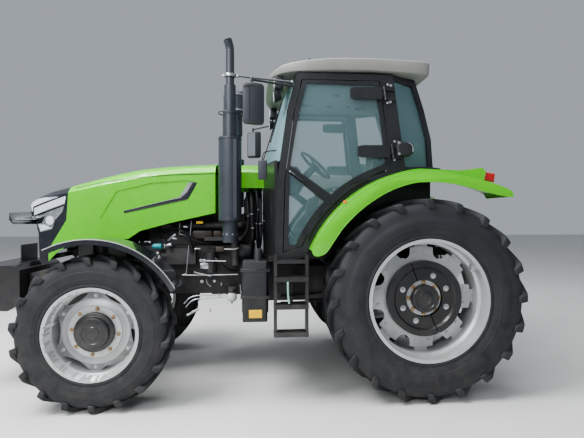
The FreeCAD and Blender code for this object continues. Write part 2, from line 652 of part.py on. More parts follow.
pin = rod("kingpin", "z", ("wheelbase", "kingpin_out", axle_height + " - 78"), "156", "22")
cheeks = [block("knuckle_cheek_%d" % k,
                ("wheelbase - 52", "kingpin_out - 45", axle_height + " " + low),
                ("wheelbase + 52", "kingpin_out + 92", axle_height + " " + high))
          for k, (low, high) in enumerate((("+ 68", "+ 100"), ("- 100", "- 68")))]
web = block("knuckle_web", ("wheelbase - 52", "kingpin_out + 62", axle_height + " - 100"),
            ("wheelbase + 52", "kingpin_out + 92", axle_height + " + 100"))
spindle = rod("spindle", "y", ("wheelbase", "kingpin_out + 90", "front_radius"),
              "front_track + front_disc - 60.5 - kingpin_out - 90", "88")
guard_seat = "front_radius + guard_arc - guard_wall - 0.8"
post = slab("guard_post", "front", [
    ("kingpin_out - 20", axle_height + " + 95"), ("kingpin_out + 30", axle_height + " + 95"),
    ("kingpin_out - 2", "front_radius + 320"), ("kingpin_out - 2", guard_seat + " - 50"),
    ("guard_in + 90", guard_seat + " - 16"), ("guard_in + 90", guard_seat),
    ("kingpin_out - 32", guard_seat),
    ("kingpin_out - 32", "front_radius + 320")], "wheelbase - 25", "wheelbase + 15")
left = node("knuckle_left", fused("knuckle_left", pin, *cheeks, web, spindle, post))
mirrored("knuckle_right", left)


def arc_points(centre, radius, angles):
    """Bound points on a circle, one for each angle in degrees."""
    return [("%s + (%s) * cos(%s deg)" % (centre[0], radius, a),
             "%s + (%s) * sin(%s deg)" % (centre[1], radius, a)) for a in angles]


def curved_sheet(centre, radius, wall, start, end):
    """The outline of a sheet bent round a centre from one angle to another."""
    outer = arc_points(centre, radius, (start, end))
    inner = arc_points(centre, "%s - %s" % (radius, wall), (end, start))
    return [outer[0], outer[1] + (radius,), inner[0], inner[1] + ("0 - %s + %s" % (radius, wall),)]


guard_centre = ("wheelbase", "front_radius")
guard = slab("guard_sheet", "side", curved_sheet(guard_centre, "guard_arc", "guard_wall", 62, 152),
             "guard_in", "guard_out")
guard_lip = slab("guard_lip", "side", curved_sheet(guard_centre, "guard_arc", "42", 62, 152),
                 "guard_out - guard_wall", "guard_out")
left = node("front_guard_left", fused("front_guard_left", guard, guard_lip))
mirrored("front_guard_right", left)

# Hood: a lofted skin; the painted hood, the nose and the lamps are cut from it

# x from a datum, half width low, half width at the crease, crease height, top half, top, crown
HOOD_SECTIONS = [
    ("hood_rear", "hood_half - 5", "hood_half", 1944, "hood_top_half", 2009, 2050),
    ("wheelbase - 500", "hood_half - 5", "hood_half", 1922, "hood_top_half", 1985, 2026),
    ("wheelbase - 130", "hood_half - 5", "hood_half", 1866, "hood_top_half", 1940, 1980),
    ("wheelbase + 380", "hood_half - 10", "hood_half - 5", 1752, "hood_top_half - 12", 1812, 1850),
    ("wheelbase + 620", "hood_half - 28", "hood_half - 25", 1690, "hood_top_half - 60", 1752, 1780),
    ("wheelbase + 800", "hood_half - 105", "hood_half - 100", 1610, "hood_top_half - 120", 1664, 1690),
]


def between(share, before, here, there, after):
    """The weights of four stations on a smooth curve, a share of the way from here to there."""
    gap = there - here
    first = gap / (there - before) if before is not None else 0
    last = gap / (after - here) if after is not None else 0
    lift = share ** 3 - 2 * share ** 2 + share
    fall = share ** 3 - share ** 2
    near = 2 * share ** 3 - 3 * share ** 2 + 1
    far = 1 - near
    if before is None:
        near, far = near - lift, far + lift
    else:
        far += lift * first
    if after is None:
        near, far = near - fall, far + fall
    else:
        near -= fall * last
    return (-lift * first, near, far, fall * last)


def hood_stations():
    """The hood's sections, with three more between each two."""
    rows = [tuple(str(v) for v in row) for row in HOOD_SECTIONS]
    spots = [number(row[0]) for row in rows]
    made_rows = []
    for k in range(len(rows) - 1):
        before = spots[k - 1] if k else None
        after = spots[k + 2] if k + 2 < len(rows) else None
        for part in range(4):
            share = part / 4
            weights = between(share, before, spots[k], spots[k + 1], after)
            near = [rows[max(k - 1, 0)], rows[k], rows[k + 1], rows[min(k + 2, len(rows) - 1)]]
            row = ["(%s) * %s + (%s) * %s" % (rows[k][0], 1 - share, rows[k + 1][0], share)]
            for column in range(1, len(rows[k])):
                row.append(" + ".join("(%s) * (%.6f)" % (other[column], weight)
                                      for other, weight in zip(near, weights) if weight))
            made_rows.append(tuple(row))
    return made_rows + [rows[-1]]


def hood_loft(name, inset):
    sections = []
    for k, (x, low, wide, crease, narrow, top, crown) in enumerate(hood_stations()):
        low, wide = ("%s - %s" % (w, inset) for w in (low, wide))
        narrow = "%s - %s * 0.8" % (narrow, inset)
        crease, top, crown = ("%s - %s" % (z, inset) for z in (crease, top, crown))
        half = [(low, "1020"), (wide, crease),
                ("(%s) * 0.42 + (%s) * 0.58" % (wide, narrow) + " + hood_round",
                 "(%s) * 0.42 + (%s) * 0.58 + hood_round" % (crease, top)),
                (narrow, top), ("(%s) * 0.5" % narrow, "(%s) * 0.24 + (%s) * 0.76" % (top, crown))]
        sections.append(outline("%s_section_%d" % (name, k), "front",
                                half + [("0", crown)] + [("0 - (%s)" % y, z) for y, z in half[::-1]], x))
    loft = doc.addObject("Part::Loft", name)
    loft.Sections = sections
    loft.Solid = True
    loft.Ruled = True
    return loft


SKIRT = [("hood_rear", "1568"), ("wheelbase - 500", "1476"), ("wheelbase - 234", "1404"),
         ("wheelbase - 130", "1332"), ("wheelbase + 308", "1325"), ("wheelbase + 490", "1218"),
         ("wheelbase + 567", "1136")]
SPLIT = [("wheelbase + 570", "1236"), ("wheelbase + 410", "1504"), ("wheelbase + 360", "2200")]
NOSE = [("wheelbase + 620", "1100"), ("wheelbase + 655", "1140"), ("wheelbase + 663", "1386"),
        ("wheelbase + 760", "1680"), ("wheelbase + 700", "2200")]
skin = hood_loft("hood_outside", "0")
inside = hood_loft("hood_inside", "hood_wall")
whole = common("hood_whole", skin, slab("hood_side", "side",
               SKIRT + NOSE + [("hood_rear", "2200")], "0 - 500", "500"))
room = common("hood_room", inside, slab("hood_room_side", "side", [
    ("hood_rear - 10", "1000"), ("wheelbase + 655 - hood_wall", "1000"),
    ("wheelbase + 655 - hood_wall", "1386"), ("wheelbase + 755 - hood_wall * 1.5", "1680"),
    ("wheelbase + 700", "2200"), ("hood_rear - 10", "2200")], "0 - 500", "500"))
recess = slab("hood_panel", "side", [
    ("wheelbase + 120", "1514"), ("wheelbase - 30", "1548"), ("wheelbase - 660", "1672"),
    ("wheelbase - 750", "1850"), ("wheelbase - 664", "1866"), ("wheelbase - 340", "1842"),
    ("wheelbase - 29", "1764")], "hood_half - hood_recess", "hood_half + 60")
shell = cut("hood_skin", cut("hood_sunk", whole, both_sides("hood_panels", recess)), room)
hood_zone = slab("hood_zone", "side", [("hood_rear - 20", "1000")] + [("wheelbase + 567", "1000")]
                 + SPLIT + [("hood_rear - 20", "2200")], "0 - 500", "500")
hinge_eye = rod("hood_hinge", "y", ("hood_rear - 12", "0 - 120", "2012"), "240", "9")
hinge_tab = block("hood_hinge_tab", ("hood_rear - 12", "0 - 60", "2006"),
                  ("hood_rear + 60", "60", "2034"))
node("hood_shell", fused("hood_shell", common("hood_green", shell, hood_zone),
                         hinge_eye, hinge_tab))
lamp_outline = [("wheelbase + 410", "1720"), ("wheelbase + 455", "1590"),
                ("wheelbase + 641", "1405"), ("wheelbase + 800", "1560"),
                ("wheelbase + 800", "1690")]
nose_zone = slab("nose_zone", "side", [("wheelbase + 567", "1000")] + SPLIT
                 + [("wheelbase + 900", "2200"), ("wheelbase + 900", "1000")], "0 - 500", "500")
lamp_prism = slab("lamp_prism", "side", lamp_outline, "150", "480")
lamp_gap = slab("lamp_hole", "side", lamp_outline, "150", "480")
deep = hood_loft("hood_deep", "70")
lamp_body = cut("lamp_body", common("lamp_cut", common("lamp_whole", hood_loft("lamp_skin", "1"),
                slab("lamp_side", "side", SKIRT + NOSE + [("hood_rear", "2200")],
                     "0 - 500", "500")), lamp_prism), deep)
node("headlamps", both_sides("headlamps", lamp_body))
bars = [block("grille_bar_%d" % k, ("wheelbase + 560", "0 - 240", "%d" % z),
              ("wheelbase + 668", "240", "%d" % (z + 14))) for k, z in enumerate(range(1180, 1390, 42))]
grille_hole = slab("grille_hole", "front", [("0 - 235", "1165"), ("235", "1165"), ("215", "1375"),
                                            ("0 - 215", "1375")], "wheelbase + 600", "wheelbase + 900")
nose_skin = common("nose_skin", shell, nose_zone)
nose_open = cut("nose_open", nose_skin, fused("nose_holes", both_sides("lamp_holes", lamp_gap),
                                              grille_hole))
grille = common("grille_bars", fused("grille_stack", *bars), whole)
node("hood_nose", fused("hood_nose", nose_open, grille))

# The fixed cowl behind the hood
COWL = [("bulkhead", "1800"), ("hood_rear - hood_gap", "1800"), ("hood_rear - hood_gap", "2200"),
        ("bulkhead", "2200")]


def cowl_loft(name, inset):
    sections = []
    for k, x in enumerate(("bulkhead", "hood_rear - hood_gap")):
        sections.append(outline("%s_section_%d" % (name, k), "front", [
            ("0 - hood_half + 12 + %s" % inset, "1500"), ("hood_half - 12 - %s" % inset, "1500"),
            ("hood_half - 12 - %s" % inset, "1946 - %s" % inset),
            ("hood_top_half - %s" % inset, "2011 - %s" % inset), ("0", "2052 - %s" % inset),
            ("0 - hood_top_half + %s" % inset, "2011 - %s" % inset),
            ("0 - hood_half + 12 + %s" % inset, "1946 - %s" % inset)], x))
    loft = doc.addObject("Part::Loft", name)
    loft.Sections = sections
    loft.Solid = True
    loft.Ruled = True
    return loft


cowl_skin = cut("cowl_skin", cowl_loft("cowl_outside", "0"), cowl_loft("cowl_inside", "hood_wall"))
cowl = common("cowl_cut", cowl_skin, slab("cowl_side", "side", COWL, "0 - 500", "500"))
cowl_end = block("cowl_end", ("bulkhead", "0 - hood_half + 20", "1800"),
                 ("bulkhead + 10", "hood_half - 20", "1940"))
hinge_ears = both_sides("hinge_ears", slab("hinge_ear", "side", [
    ("hood_rear - 100", "2002"), ("hood_rear - 2", "2002"), ("hood_rear - 2", "2018"),
    ("hood_rear - 22", "2022"), ("hood_rear - 50", "2028"), ("hood_rear - 100", "2028")],
    "120.4", "133"))
node("rear_cowl", fused("rear_cowl", cowl, cowl_end, hinge_ears))

# Stacks: the exhaust on the left, the air intake on the right


def stack_parts(name, side, steps):
    """Coaxial tubes of (radius, low, high)."""
    return [rod("%s_%d" % (name, k), "z", ("stack_x", side, low), "%s - %s" % (high, low), radius)
            for k, (radius, low, high) in enumerate(steps)]


exhaust = stack_parts("exhaust", "stack_out", [
    ("66", "1310", "1500"), ("muffler", "1497", "2225"), ("64", "2220", "2450"),
    ("50", "2445", "2680"), ("36.5", "2675", "2960")])
seam = block("exhaust_seam", ("stack_x - 60", "stack_out + 60", "1520"),
             ("stack_x - 30", "stack_out + 100", "2200"))
tip_path = Part.Wire([Part.LineSegment(Vector(0, 0, 0), Vector(0, 0, 20)).toShape(),
                      Part.Arc(Vector(0, 0, 20), Vector(6, 8, 66), Vector(22, 30, 112)).toShape()])


def bent_tip():
    radius = 36.5
    ring = Part.Wire(Part.makeCircle(radius, Vector(0, 0, 0), Vector(0, 0, 1)))
    inner = Part.Wire(Part.makeCircle(radius - 4, Vector(0, 0, 0), Vector(0, 0, 1)))
    outer_tube = tip_path.makePipeShell([ring], True, False)
    inner_tube = tip_path.makePipeShell([inner], True, False)
    shape = outer_tube.cut(inner_tube)
    shape.translate(Vector(number("stack_x"), number("stack_out"), 2960))
    return shape


tip = made("exhaust_tip", bent_tip())
elbow = rod("exhaust_elbow", "y", ("stack_x", "stack_out - 215", "1365"), "220", "52")
hanger = block("exhaust_hanger", ("stack_x - 30", "150", "1350"),
               ("stack_x + 30", "stack_out - 40", "1378"))
clamp = rod("exhaust_clamp", "z", ("stack_x", "stack_out", "2748"), "34", "42")
lug = block("exhaust_clamp_lug", ("stack_x - 74", "stack_out - 6", "2752"),
            ("stack_x + 60", "stack_out + 6", "2778"))
stay = strut("exhaust_stay", ("1575", "592", "2765"), ("1098", "741", "2676"), 10)
node("exhaust_stack", fused("exhaust_stack", *exhaust, seam, tip, elbow, hanger, clamp, lug, stay))

intake = stack_parts("intake", "0 - stack_out", [
    ("64", "1485", "2460"), ("92", "1640", "2180"), ("74", "2455", "2700")])
dome = turned("intake_dome", "z", ("stack_x", "0 - stack_out", "2690"), [
    ("0", "0"), ("112", "0"), ("140", "24"), ("140", "200"), ("146", "204"), ("146", "214"),
    ("128", "246"), ("70", "266"), ("0", "268")])
duct = rod("intake_duct", "y", ("stack_x", "0 - stack_out - 10", "1560"), "266.2", "60")
node("intake_stack", fused("intake_stack", *intake, dome, duct))

# Cab: side frames and doors are cut from one skin that leans in above the shoulder


def side_skin(name, depth_out, depth_in):
    """A sheet along the cab's side between two depths under its outer face."""
    rows = [("cab_half", "1100"), ("cab_half", "waist"), ("cab_half - 38", "shoulder"),
            ("cab_top_half", "roof_seat")]
    outer = [("%s - (%s)" % (y, depth_out), z) for y, z in rows]
    inner = [("%s - (%s)" % (y, depth_in), z) for y, z in reversed(rows)]
    return slab(name, "front", outer + inner, "0 - 400", "1500")


frame_side = [("1263", "floor_top - floor_thick"), ("1263", "1231"), ("1241", "waist"),
              ("1157", "shoulder"), ("1072", "roof_seat"), ("238", "roof_seat"),
              ("141", "1946")]
frame_side += [p for p in arc_points(("0", "rear_radius"), "fender_arc + 4", (87,))]
frame_side += [arc_points(("0", "rear_radius"), "fender_arc + 4", (19,))[0]
               + ("0 - fender_arc - 4",)]


def door_outline(gap):
    """The door's edge, drawn in from its opening by a gap."""
    corner = arc_points(("0", "rear_radius"), "band_arc + %s" % gap, (23.2, 74.5))
    return [(corner[0][0], "floor_top + 44 + %s" % gap), ("1196 - %s" % gap, "floor_top + 44 + %s" % gap),
            ("1180 - %s" % gap, "waist"), ("1098 - %s" % gap, "shoulder"),
            ("1030 - %s" % gap, "2706 - %s" % gap), ("352 + %s" % gap, "2706 - %s" % gap),
            ("268 + %s" % gap, "1990"), (corner[1][0] + " + %s" % gap, corner[1][1]),
            corner[0] + ("0 - band_arc - %s" % gap,)]


def first_arc(points):
    """An outline whose last point is the first one again, drawn as the closing arc."""
    return points[1:-1] + [points[-1]]


opening = slab("door_opening", "side", first_arc(door_outline("0")), "400", "900")
side_plate = slab("side_plate", "side", frame_side, "500", "900")
side_sheet = common("side_sheet", side_plate, side_skin("frame_skin", "0", "frame_thick"))
side_frame = cut("side_frame", side_sheet, opening)
side_frames = both_sides("side_frames", side_frame)


def leaning_post(name, stations, wide, deep):
    """A post through (x, y, z) stations, its section lying level, wide in x and deep in y."""
    sections = []
    for k, (x, y, z) in enumerate(stations):
        sections.append(outline("%s_section_%d" % (name, k), "plan", [
            (x, y), ("%s + %s" % (x, wide), y), ("%s + %s" % (x, wide), "%s + %s" % (y, deep)),
            (x, "%s + %s" % (y, deep))], z))
    loft = doc.addObject("Part::Loft", name)
    loft.Sections = sections
    loft.Solid = True
    loft.Ruled = True
    return loft


rear_post = leaning_post("rear_post", [
    ("0 - 173", "570", "1925"), ("0 - 173", "570", "1984"),
    ("0 - 154", "572", "2229"), ("0 - 89", "568", "2494"), ("0 - 5", "560", "roof_seat")],
    "44", "46")
rear_posts = both_sides("rear_posts", rear_post)
rear_panel = block("rear_panel", ("0 - 173", "0 - fender_in", "floor_top - floor_thick"),
                   ("0 - 143", "fender_in", "1960"))
front_rail = slab("front_rail", "plan", [
    ("1072", "cab_top_half - 30"), ("1040", "cab_top_half - 30"), ("1085", "0"),
    ("1040", "0 - cab_top_half + 30"), ("1072", "0 - cab_top_half + 30"), ("1125", "0")],
    "roof_seat - 62", "roof_seat")
rear_rail = block("rear_rail", ("0 - 5", "0 - 565", "roof_seat - 60"), ("39", "565", "roof_seat"))
side_rail = slab("side_rail", "plan", [
    ("0", "560"), ("40", "560"), ("262", "cab_top_half - 46"), ("262", "cab_top_half - 4"),
    ("0", "604")], "roof_seat - 56", "roof_seat")
side_rails = both_sides("side_rails", side_rail)
wall_arc = arc_points(("0", "rear_radius"), "fender_arc", (18, 99))
inner_wall = slab("inner_wall", "side", [
    ("0 - 173", "floor_top - floor_thick"), (wall_arc[0][0], "floor_top - floor_thick"),
    wall_arc[0], wall_arc[1] + ("fender_arc",), ("0 - 173", wall_arc[1][1])],
    "fender_in - 36", "fender_in")
inner_walls = both_sides("inner_walls", inner_wall)
shelf = slab("wheel_shelf", "side", curved_sheet(("0", "rear_radius"), "band_arc",
             "(band_arc - fender_arc - 0.3)", 19, 99), "fender_in - 20", "cab_half - 20")
shelves = both_sides("wheel_shelves", shelf)
node("cab_frame", fused("cab_frame", side_frames, rear_posts, rear_panel, front_rail, rear_rail,
                        side_rails, inner_walls, shelves))

floor_rear = block("floor_rear", ("0 - 143", "0 - fender_in + 36", "floor_top - floor_thick"),
                   (wall_arc[0][0], "fender_in - 36", "floor_top"))
floor_front = block("floor_front", (wall_arc[0][0], "0 - cab_half + frame_thick",
                                    "floor_top - floor_thick"),
                    ("bulkhead - 30", "cab_half - frame_thick", "floor_top"))
bulkhead = slab("bulkhead_plate", "plan", [
    ("1262", "cab_half - frame_thick - 4"), ("1236", "cab_half - frame_thick - 4"),
    ("bulkhead - 26", "400"), ("bulkhead - 26", "0 - 400"), ("1236", "0 - cab_half + frame_thick + 4"),
    ("1262", "0 - cab_half + frame_thick + 4"), ("bulkhead", "0 - 400"), ("bulkhead", "400")],
    "floor_top - floor_thick", "2010")
tunnel = slab("floor_tunnel", "side", [("0 - 143", "floor_top - 4"), ("260", "floor_top - 4"),
                                       ("260", "1420"), ("180", "1460"), ("0 - 143", "1460")],
              "0 - 300", "300")
node("cab_floor", fused("cab_floor", floor_rear, floor_front, bulkhead, tunnel))

roof_side = slab("roof_side", "side", [
    ("0 - 52", "2700"), ("0 - 20", "roof_seat"), ("1230", "roof_seat"), ("1310", "2750"),
    ("1318", "2778"), ("1172", "2844"), ("829", "2891"), ("547", "2912"), ("73", "2905"),
    ("0 - 96", "2892"), ("0 - 112", "2794")], "0 - 760", "760")
roof_plan = slab("roof_plan", "plan", [
    ("0 - 120", "0 - 560"), ("0 - 60", "0 - 640"), ("190", "0 - cab_top_half - 10"),
    ("1080", "0 - cab_top_half - 10"), ("1230", "0 - cab_top_half + 60"), ("1320", "0 - 480"),
    ("1330", "0"), ("1320", "480"), ("1230", "cab_top_half - 60"), ("1080", "cab_top_half + 10"),
    ("190", "cab_top_half + 10"), ("0 - 60", "640"), ("0 - 120", "560")], "2600", "3000")
node("cab_roof", common("cab_roof", roof_side, roof_plan))

# Glass: a wrapped windscreen, a rear window, two quarter lights and the doors' panes


def pane(name, low, high, low_z, high_z):
    """A pane between two level outlines of (x, y)."""
    loft = doc.addObject("Part::Loft", name)
    loft.Sections = [outline(name + "_low", "plan", low, low_z),
                     outline(name + "_high", "plan", high, high_z)]
    loft.Solid = True
    loft.Ruled = True
    return loft


def screen_line(edge_x, edge_y, knee_x, knee_y):
    outer = [(edge_x, edge_y), (knee_x, knee_y), (knee_x, "0 - " + knee_y), (edge_x, "0 - " + edge_y)]
    inner = [("%s - glass_thick" % x, y) for x, y in reversed(outer)]
    return outer + inner


node("windscreen", pane("windscreen", screen_line("1205", "746.5", "bulkhead - 4", "410"),
                        screen_line("1076", "701.5", "1143", "380"), "2010", "roof_seat - 62"))
rear_window = pane("rear_window", [
    ("0 - 168", "0 - 558"), ("0 - 168 + glass_thick", "0 - 558"), ("0 - 168 + glass_thick", "558"),
    ("0 - 168", "558")], [
    ("0 - 8", "0 - 558"), ("0 - 8 + glass_thick", "0 - 558"), ("0 - 8 + glass_thick", "558"),
    ("0 - 8", "558")], "1960", "roof_seat - 60")
# height, then x and y of the rear edge and of the front edge
QUARTER = [("rear_radius + band_arc", "0 - 128", "600", "141", "772"),
           ("2229", "0 - 109", "596", "173.5", "756"), ("2494", "0 - 44", "590", "205", "740"),
           ("roof_seat - 56", "22", "585", "229.5", "726")]
quarter = doc.addObject("Part::Loft", "quarter_light")
quarter.Sections = [outline("quarter_light_%d" % k, "plan", [
    (rear_x, rear_y), (front_x, front_y), (front_x, front_y + " - glass_thick"),
    (rear_x, rear_y + " - glass_thick")], height)
    for k, (height, rear_x, rear_y, front_x, front_y) in enumerate(QUARTER)]
quarter.Solid = True
quarter.Ruled = True
node("rear_glass", fused("rear_glass", rear_window, both_sides("quarter_lights", quarter)))

# Doors, each a frame with two panes, a handle and two hinge straps
edge_arc = "band_arc + 58"
main_pane = [("1132", "1966"), ("1054", "shoulder"), ("992", "2668"), ("392", "2668"),
             ("316", "2000")]
main_pane += [arc_points(("0", "rear_radius"), edge_arc, (72,))[0]]
main_pane += [arc_points(("0", "rear_radius"), edge_arc, (48,))[0] + ("0 - (%s)" % edge_arc,)]
low_pane = [("1148", "1296"), ("1139", "1898"), arc_points(("0", "rear_radius"), edge_arc, (44,))[0],
            arc_points(("0", "rear_radius"), edge_arc, (22.5,))[0] + ("0 - (%s)" % edge_arc,)]

door_plate = slab("door_plate", "side", first_arc(door_outline("door_gap")), "500", "900")
door_sheet = common("door_sheet", door_plate, side_skin("door_skin", "0", "door_thick"))
holes = fused("door_holes", slab("main_hole", "side", main_pane, "400", "900"),
              slab("low_hole", "side", low_pane, "400", "900"))
door_frame = cut("door_frame_cut", door_sheet, holes)
handle = common("door_handle", slab("handle_side", "side", [
    ("1010", "1812"), ("1150", "1910"), ("1142", "1926"), ("1002", "1832")], "600", "900"),
    side_skin("handle_skin", "0 - 26", "1"))
# hinge height; the pin stands off the pillar and leans with it
HINGES = [2090, 2590]
PIN_LOW = ("258", "808", "2090")
PIN_HIGH = ("316", "775", "2590")


def pin_point(height):
    share = (height - HINGES[0]) / (HINGES[1] - HINGES[0])
    return tuple("%s + (%s - %s) * %.5f" % (a, b, a, share) for a, b in zip(PIN_LOW, PIN_HIGH))


straps, leaves = [], []
for k, height in enumerate(HINGES):
    pin_x = pin_point(height)[0]
    for part, sides, depth_out, depth_in in (
            ("strap", [("0", -24), ("50", -24), ("50", 24), ("0", 24)], "0 - 16", "0 - 3"),
            ("strap_cover", [("24", -46), ("36", -53), ("260", -50), ("300", -38),
                             ("300", 38), ("260", 50), ("36", 53), ("24", 46)], "0 - 26", "0")):
        straps.append(common("%s_%d" % (part, k), slab("%s_side_%d" % (part, k), "side", [
            (pin_x + " + " + x, "%d" % (height + z)) for x, z in sides], "600", "900"),
            side_skin("%s_skin_%d" % (part, k), depth_out, depth_in)))
    straps += [strut("strap_eye_%d" % k, pin_point(height - 24), pin_point(height + 24), 13)]
    for j, (low, high) in enumerate(((height - 60, height - 27), (height + 27, height + 60))):
        leaf = common("leaf_%d_%d" % (k, j), slab("leaf_side_%d_%d" % (k, j), "side", [
            (pin_point(height)[0] + " - 90", "%d" % low), (pin_point(height)[0], "%d" % low),
            (pin_point(height)[0], "%d" % high), (pin_point(height)[0] + " - 90", "%d" % high)],
            "600", "900"), side_skin("leaf_skin_%d_%d" % (k, j), "0 - 16", "2"))
        leaves += [leaf, strut("leaf_eye_%d_%d" % (k, j), pin_point(low), pin_point(high), 13)]
left = node("door_frame_left", fused("door_frame_left", door_frame, handle, *straps))
mirrored("door_frame_right", left)
panes = common("door_panes", fused("door_pane_pair", slab("main_glass", "side", main_pane, "400", "900"),
               slab("low_glass", "side", low_pane, "400", "900")),
               side_skin("pane_skin", "12", "12 + glass_thick"))
left = node("door_glass_left", panes)
mirrored("door_glass_right", left)
cab_frame = NODES["cab_frame"]
cab_frame.Shapes = cab_frame.Shapes + [both_sides("hinge_leaves", fused("hinge_leaf", *leaves))]

# Rear fenders: an arc with a tail that falls in a curve, a deep outer lip and a raised ridge
# that ends in a housing for the tail lamp

FENDER = ("0", "rear_radius")
nose_angle, tail_angle = 23.2, 100
fender_top = arc_points(FENDER, "fender_arc", (nose_angle, tail_angle))
fender_under = arc_points(FENDER, "fender_arc - fender_wall", (tail_angle, nose_angle))


def below_top(points):
    """Points of (behind the axle, below the fender's top)."""
    return [("0 - %s" % back, "rear_radius + fender_arc - (%s)" % down) for back, down in points]


tail_top = below_top([(310, 43), (440, 71), (530, 95), (616, 124), (690, 157), (715, 203)])
tail_under = below_top([(708, 205), (683, 164), (612, 133), (527, 104), (438, 79.5), (308, 51.5)])
lip_tail = below_top([(700, 206), (571, 184), (439, 153), (352, 128), (221, 96)])
lip_under = [arc_points(FENDER, "fender_arc - fender_lip * %s" % share, (angle,))[0]
             for angle, share in ((95, 0.65), (80, 0.66), (70, 0.78), (60, 0.9), (45, 0.97), (30, 1),
                                  (24.6, 0.9), (22.6, 0.62), (21.9, 0.3))]
fender_sheet = slab("fender_sheet", "side", [
    fender_top[0], fender_top[1] + ("fender_arc",), *tail_top, *tail_under, fender_under[0],
    fender_under[1] + ("0 - fender_arc + fender_wall",)], "fender_in", "fender_out")
lip = slab("fender_lip_sheet", "side", [
    fender_top[0], fender_top[1] + ("fender_arc",), *tail_top, *lip_tail, *lip_under],
    "fender_out - fender_wall", "fender_out")
ridge_top = arc_points(FENDER, "fender_arc + 30", (86,)) + arc_points(FENDER, "fender_arc + 29", (97,))
ridge_foot = arc_points(FENDER, "fender_arc - 4", (98, 30))
ridge = slab("fender_ridge", "side", [
    arc_points(FENDER, "fender_arc + 2", (30,))[0], ridge_top[0] + ("fender_arc + 60",), ridge_top[1],
    *below_top([(270, "0 - 14"), (471, "0 - 39"), (500, "0 - 10"), (478, 85), (438, 75.5),
                (308, 47.5)]), ridge_foot[0], ridge_foot[1] + ("0 - fender_arc + 4",)], "812", "935")
left = fused("fender_left", fender_sheet, lip, ridge)
node("rear_fenders", both_sides("rear_fenders", left))

# Lamps: tail lamps behind the fenders' housings, work lamps under the roof's front edge
tail_lamp = slab("tail_lamp", "side", below_top([
    (499.4, "0 - 7"), (588, 6), (594, 20), (580, 82), (570, 86), (483.05, 64)]), "842", "918")
work = block("work_lamp", ("1180", "500", "2650"), ("1262", "640", "roof_seat - 8"))
work_foot = block("work_lamp_foot", ("1195", "540", "roof_seat - 8"), ("1225", "600", "roof_seat"))
node("lamps", both_sides("lamps", fused("lamp_pair", tail_lamp, work, work_foot)))

# Boarding steps, side tanks and mirrors
rail_pair = [block("step_rail_%d" % k, (x, "872", "560"), (x + " + 26", "925", "1226"))
             for k, x in enumerate(("993", "1249"))]
treads = [block("tread_%d" % k, ("993", "835", "%d" % z), ("1275", "945", "%d" % (z + 38)))
          for k, z in enumerate((562, 786, 1008))]
landing = block("landing", ("993", "cab_half", "floor_top - floor_thick"),
                ("1275", "925", "floor_top - 12"))
node("boarding_steps", both_sides("boarding_steps", fused("steps_left", *rail_pair, *treads, landing)))

tank_plan = slab("side_tank_plan", "plan", [("1336", "640"), ("1517", "640"), ("1529", "652"),
                 ("1529", "848"), ("1517", "860"), ("1336", "860"), ("1324", "848"), ("1324", "652")],
                 "670", "1165")
tank_neck = rod("side_tank_neck", "z", ("1400", "750", "1160"), "105", "34")
battery = block("battery_box", ("1310", "chassis_half + 14", "700"), ("1540", "640", "1120"))
node("side_tank", fused("side_tank", tank_plan, tank_neck, battery))
fuel = slab("fuel_tank", "front", [
    ("0 - 335", "690"), ("0 - 335", "1130"), ("0 - 730", "1130"), ("0 - 790", "1070"),
    ("0 - 790", "740"), ("0 - 740", "690")], "1310", "1890")
fuel_neck = rod("fuel_neck", "z", ("1800", "0 - 680", "1120"), "90", "40")
tank_arm = block("tank_arm_rear", ("1330", "0 - 340", "760"), ("1378", "0 - chassis_half - 14", "810"))
tank_arm_front = block("tank_arm_front", ("1800", "0 - 340", "880"), ("1848", "0 - engine_half", "930"))
node("fuel_tank", fused("fuel_tank", fuel, fuel_neck, tank_arm, tank_arm_front))

mirror_head = slab("mirror_head", "plan", [
    ("1352", "974"), ("1360", "962"), ("1424", "956"), ("1518", "1008"), ("1524", "1022"),
    ("1516", "1042"), ("1430", "1040"), ("1356", "994")], "2258", "2583")
mirror_arm = strut("mirror_arm", ("1106.7", "748.2", "2640"), ("1452", "1000", "2610"), 9)
mirror_drop = strut("mirror_drop", ("1452", "1000", "2630"), ("1452", "1000", "2500"), 12)
node("mirrors", both_sides("mirrors", fused("mirror_left", mirror_head, mirror_arm, mirror_drop)))

# Inside the cab
dash = slab("dash", "side", [("1120", "floor_top"), ("bulkhead - 26", "floor_top"),
                             ("bulkhead - 26", "1930"), ("1180", "1985"), ("1010", "1930"),
                             ("1040", "1800"), ("1120", "1700")], "0 - 190", "190")
column = strut("column", ("1080", "0", "1760"), ("830.45", "0", "2032.94"), 38)
node("dashboard", fused("dashboard", dash, column))
WHEEL_TILT = 42.45


def steering_wheel():
    section = [Vector(186 + 15 * math.cos(math.tau * k / 8), 0, 15 * math.sin(math.tau * k / 8))
               for k in range(8)]
    ring = Part.Face(Part.makePolygon(section + section[:1])).revolve(
        Vector(0, 0, 0), Vector(0, 0, 1), 360)
    hub_disc = Part.makeCylinder(44, 34, Vector(0, 0, -30))
    arms = []
    for k in range(3):
        arm = Part.makeCylinder(9, 150, Vector(36, 0, -8), Vector(1, 0, 0.03))
        arm.rotate(Vector(0, 0, 0), Vector(0, 0, 1), 120 * k + 60)
        arms.append(arm)
    return ring.multiFuse([hub_disc] + arms)


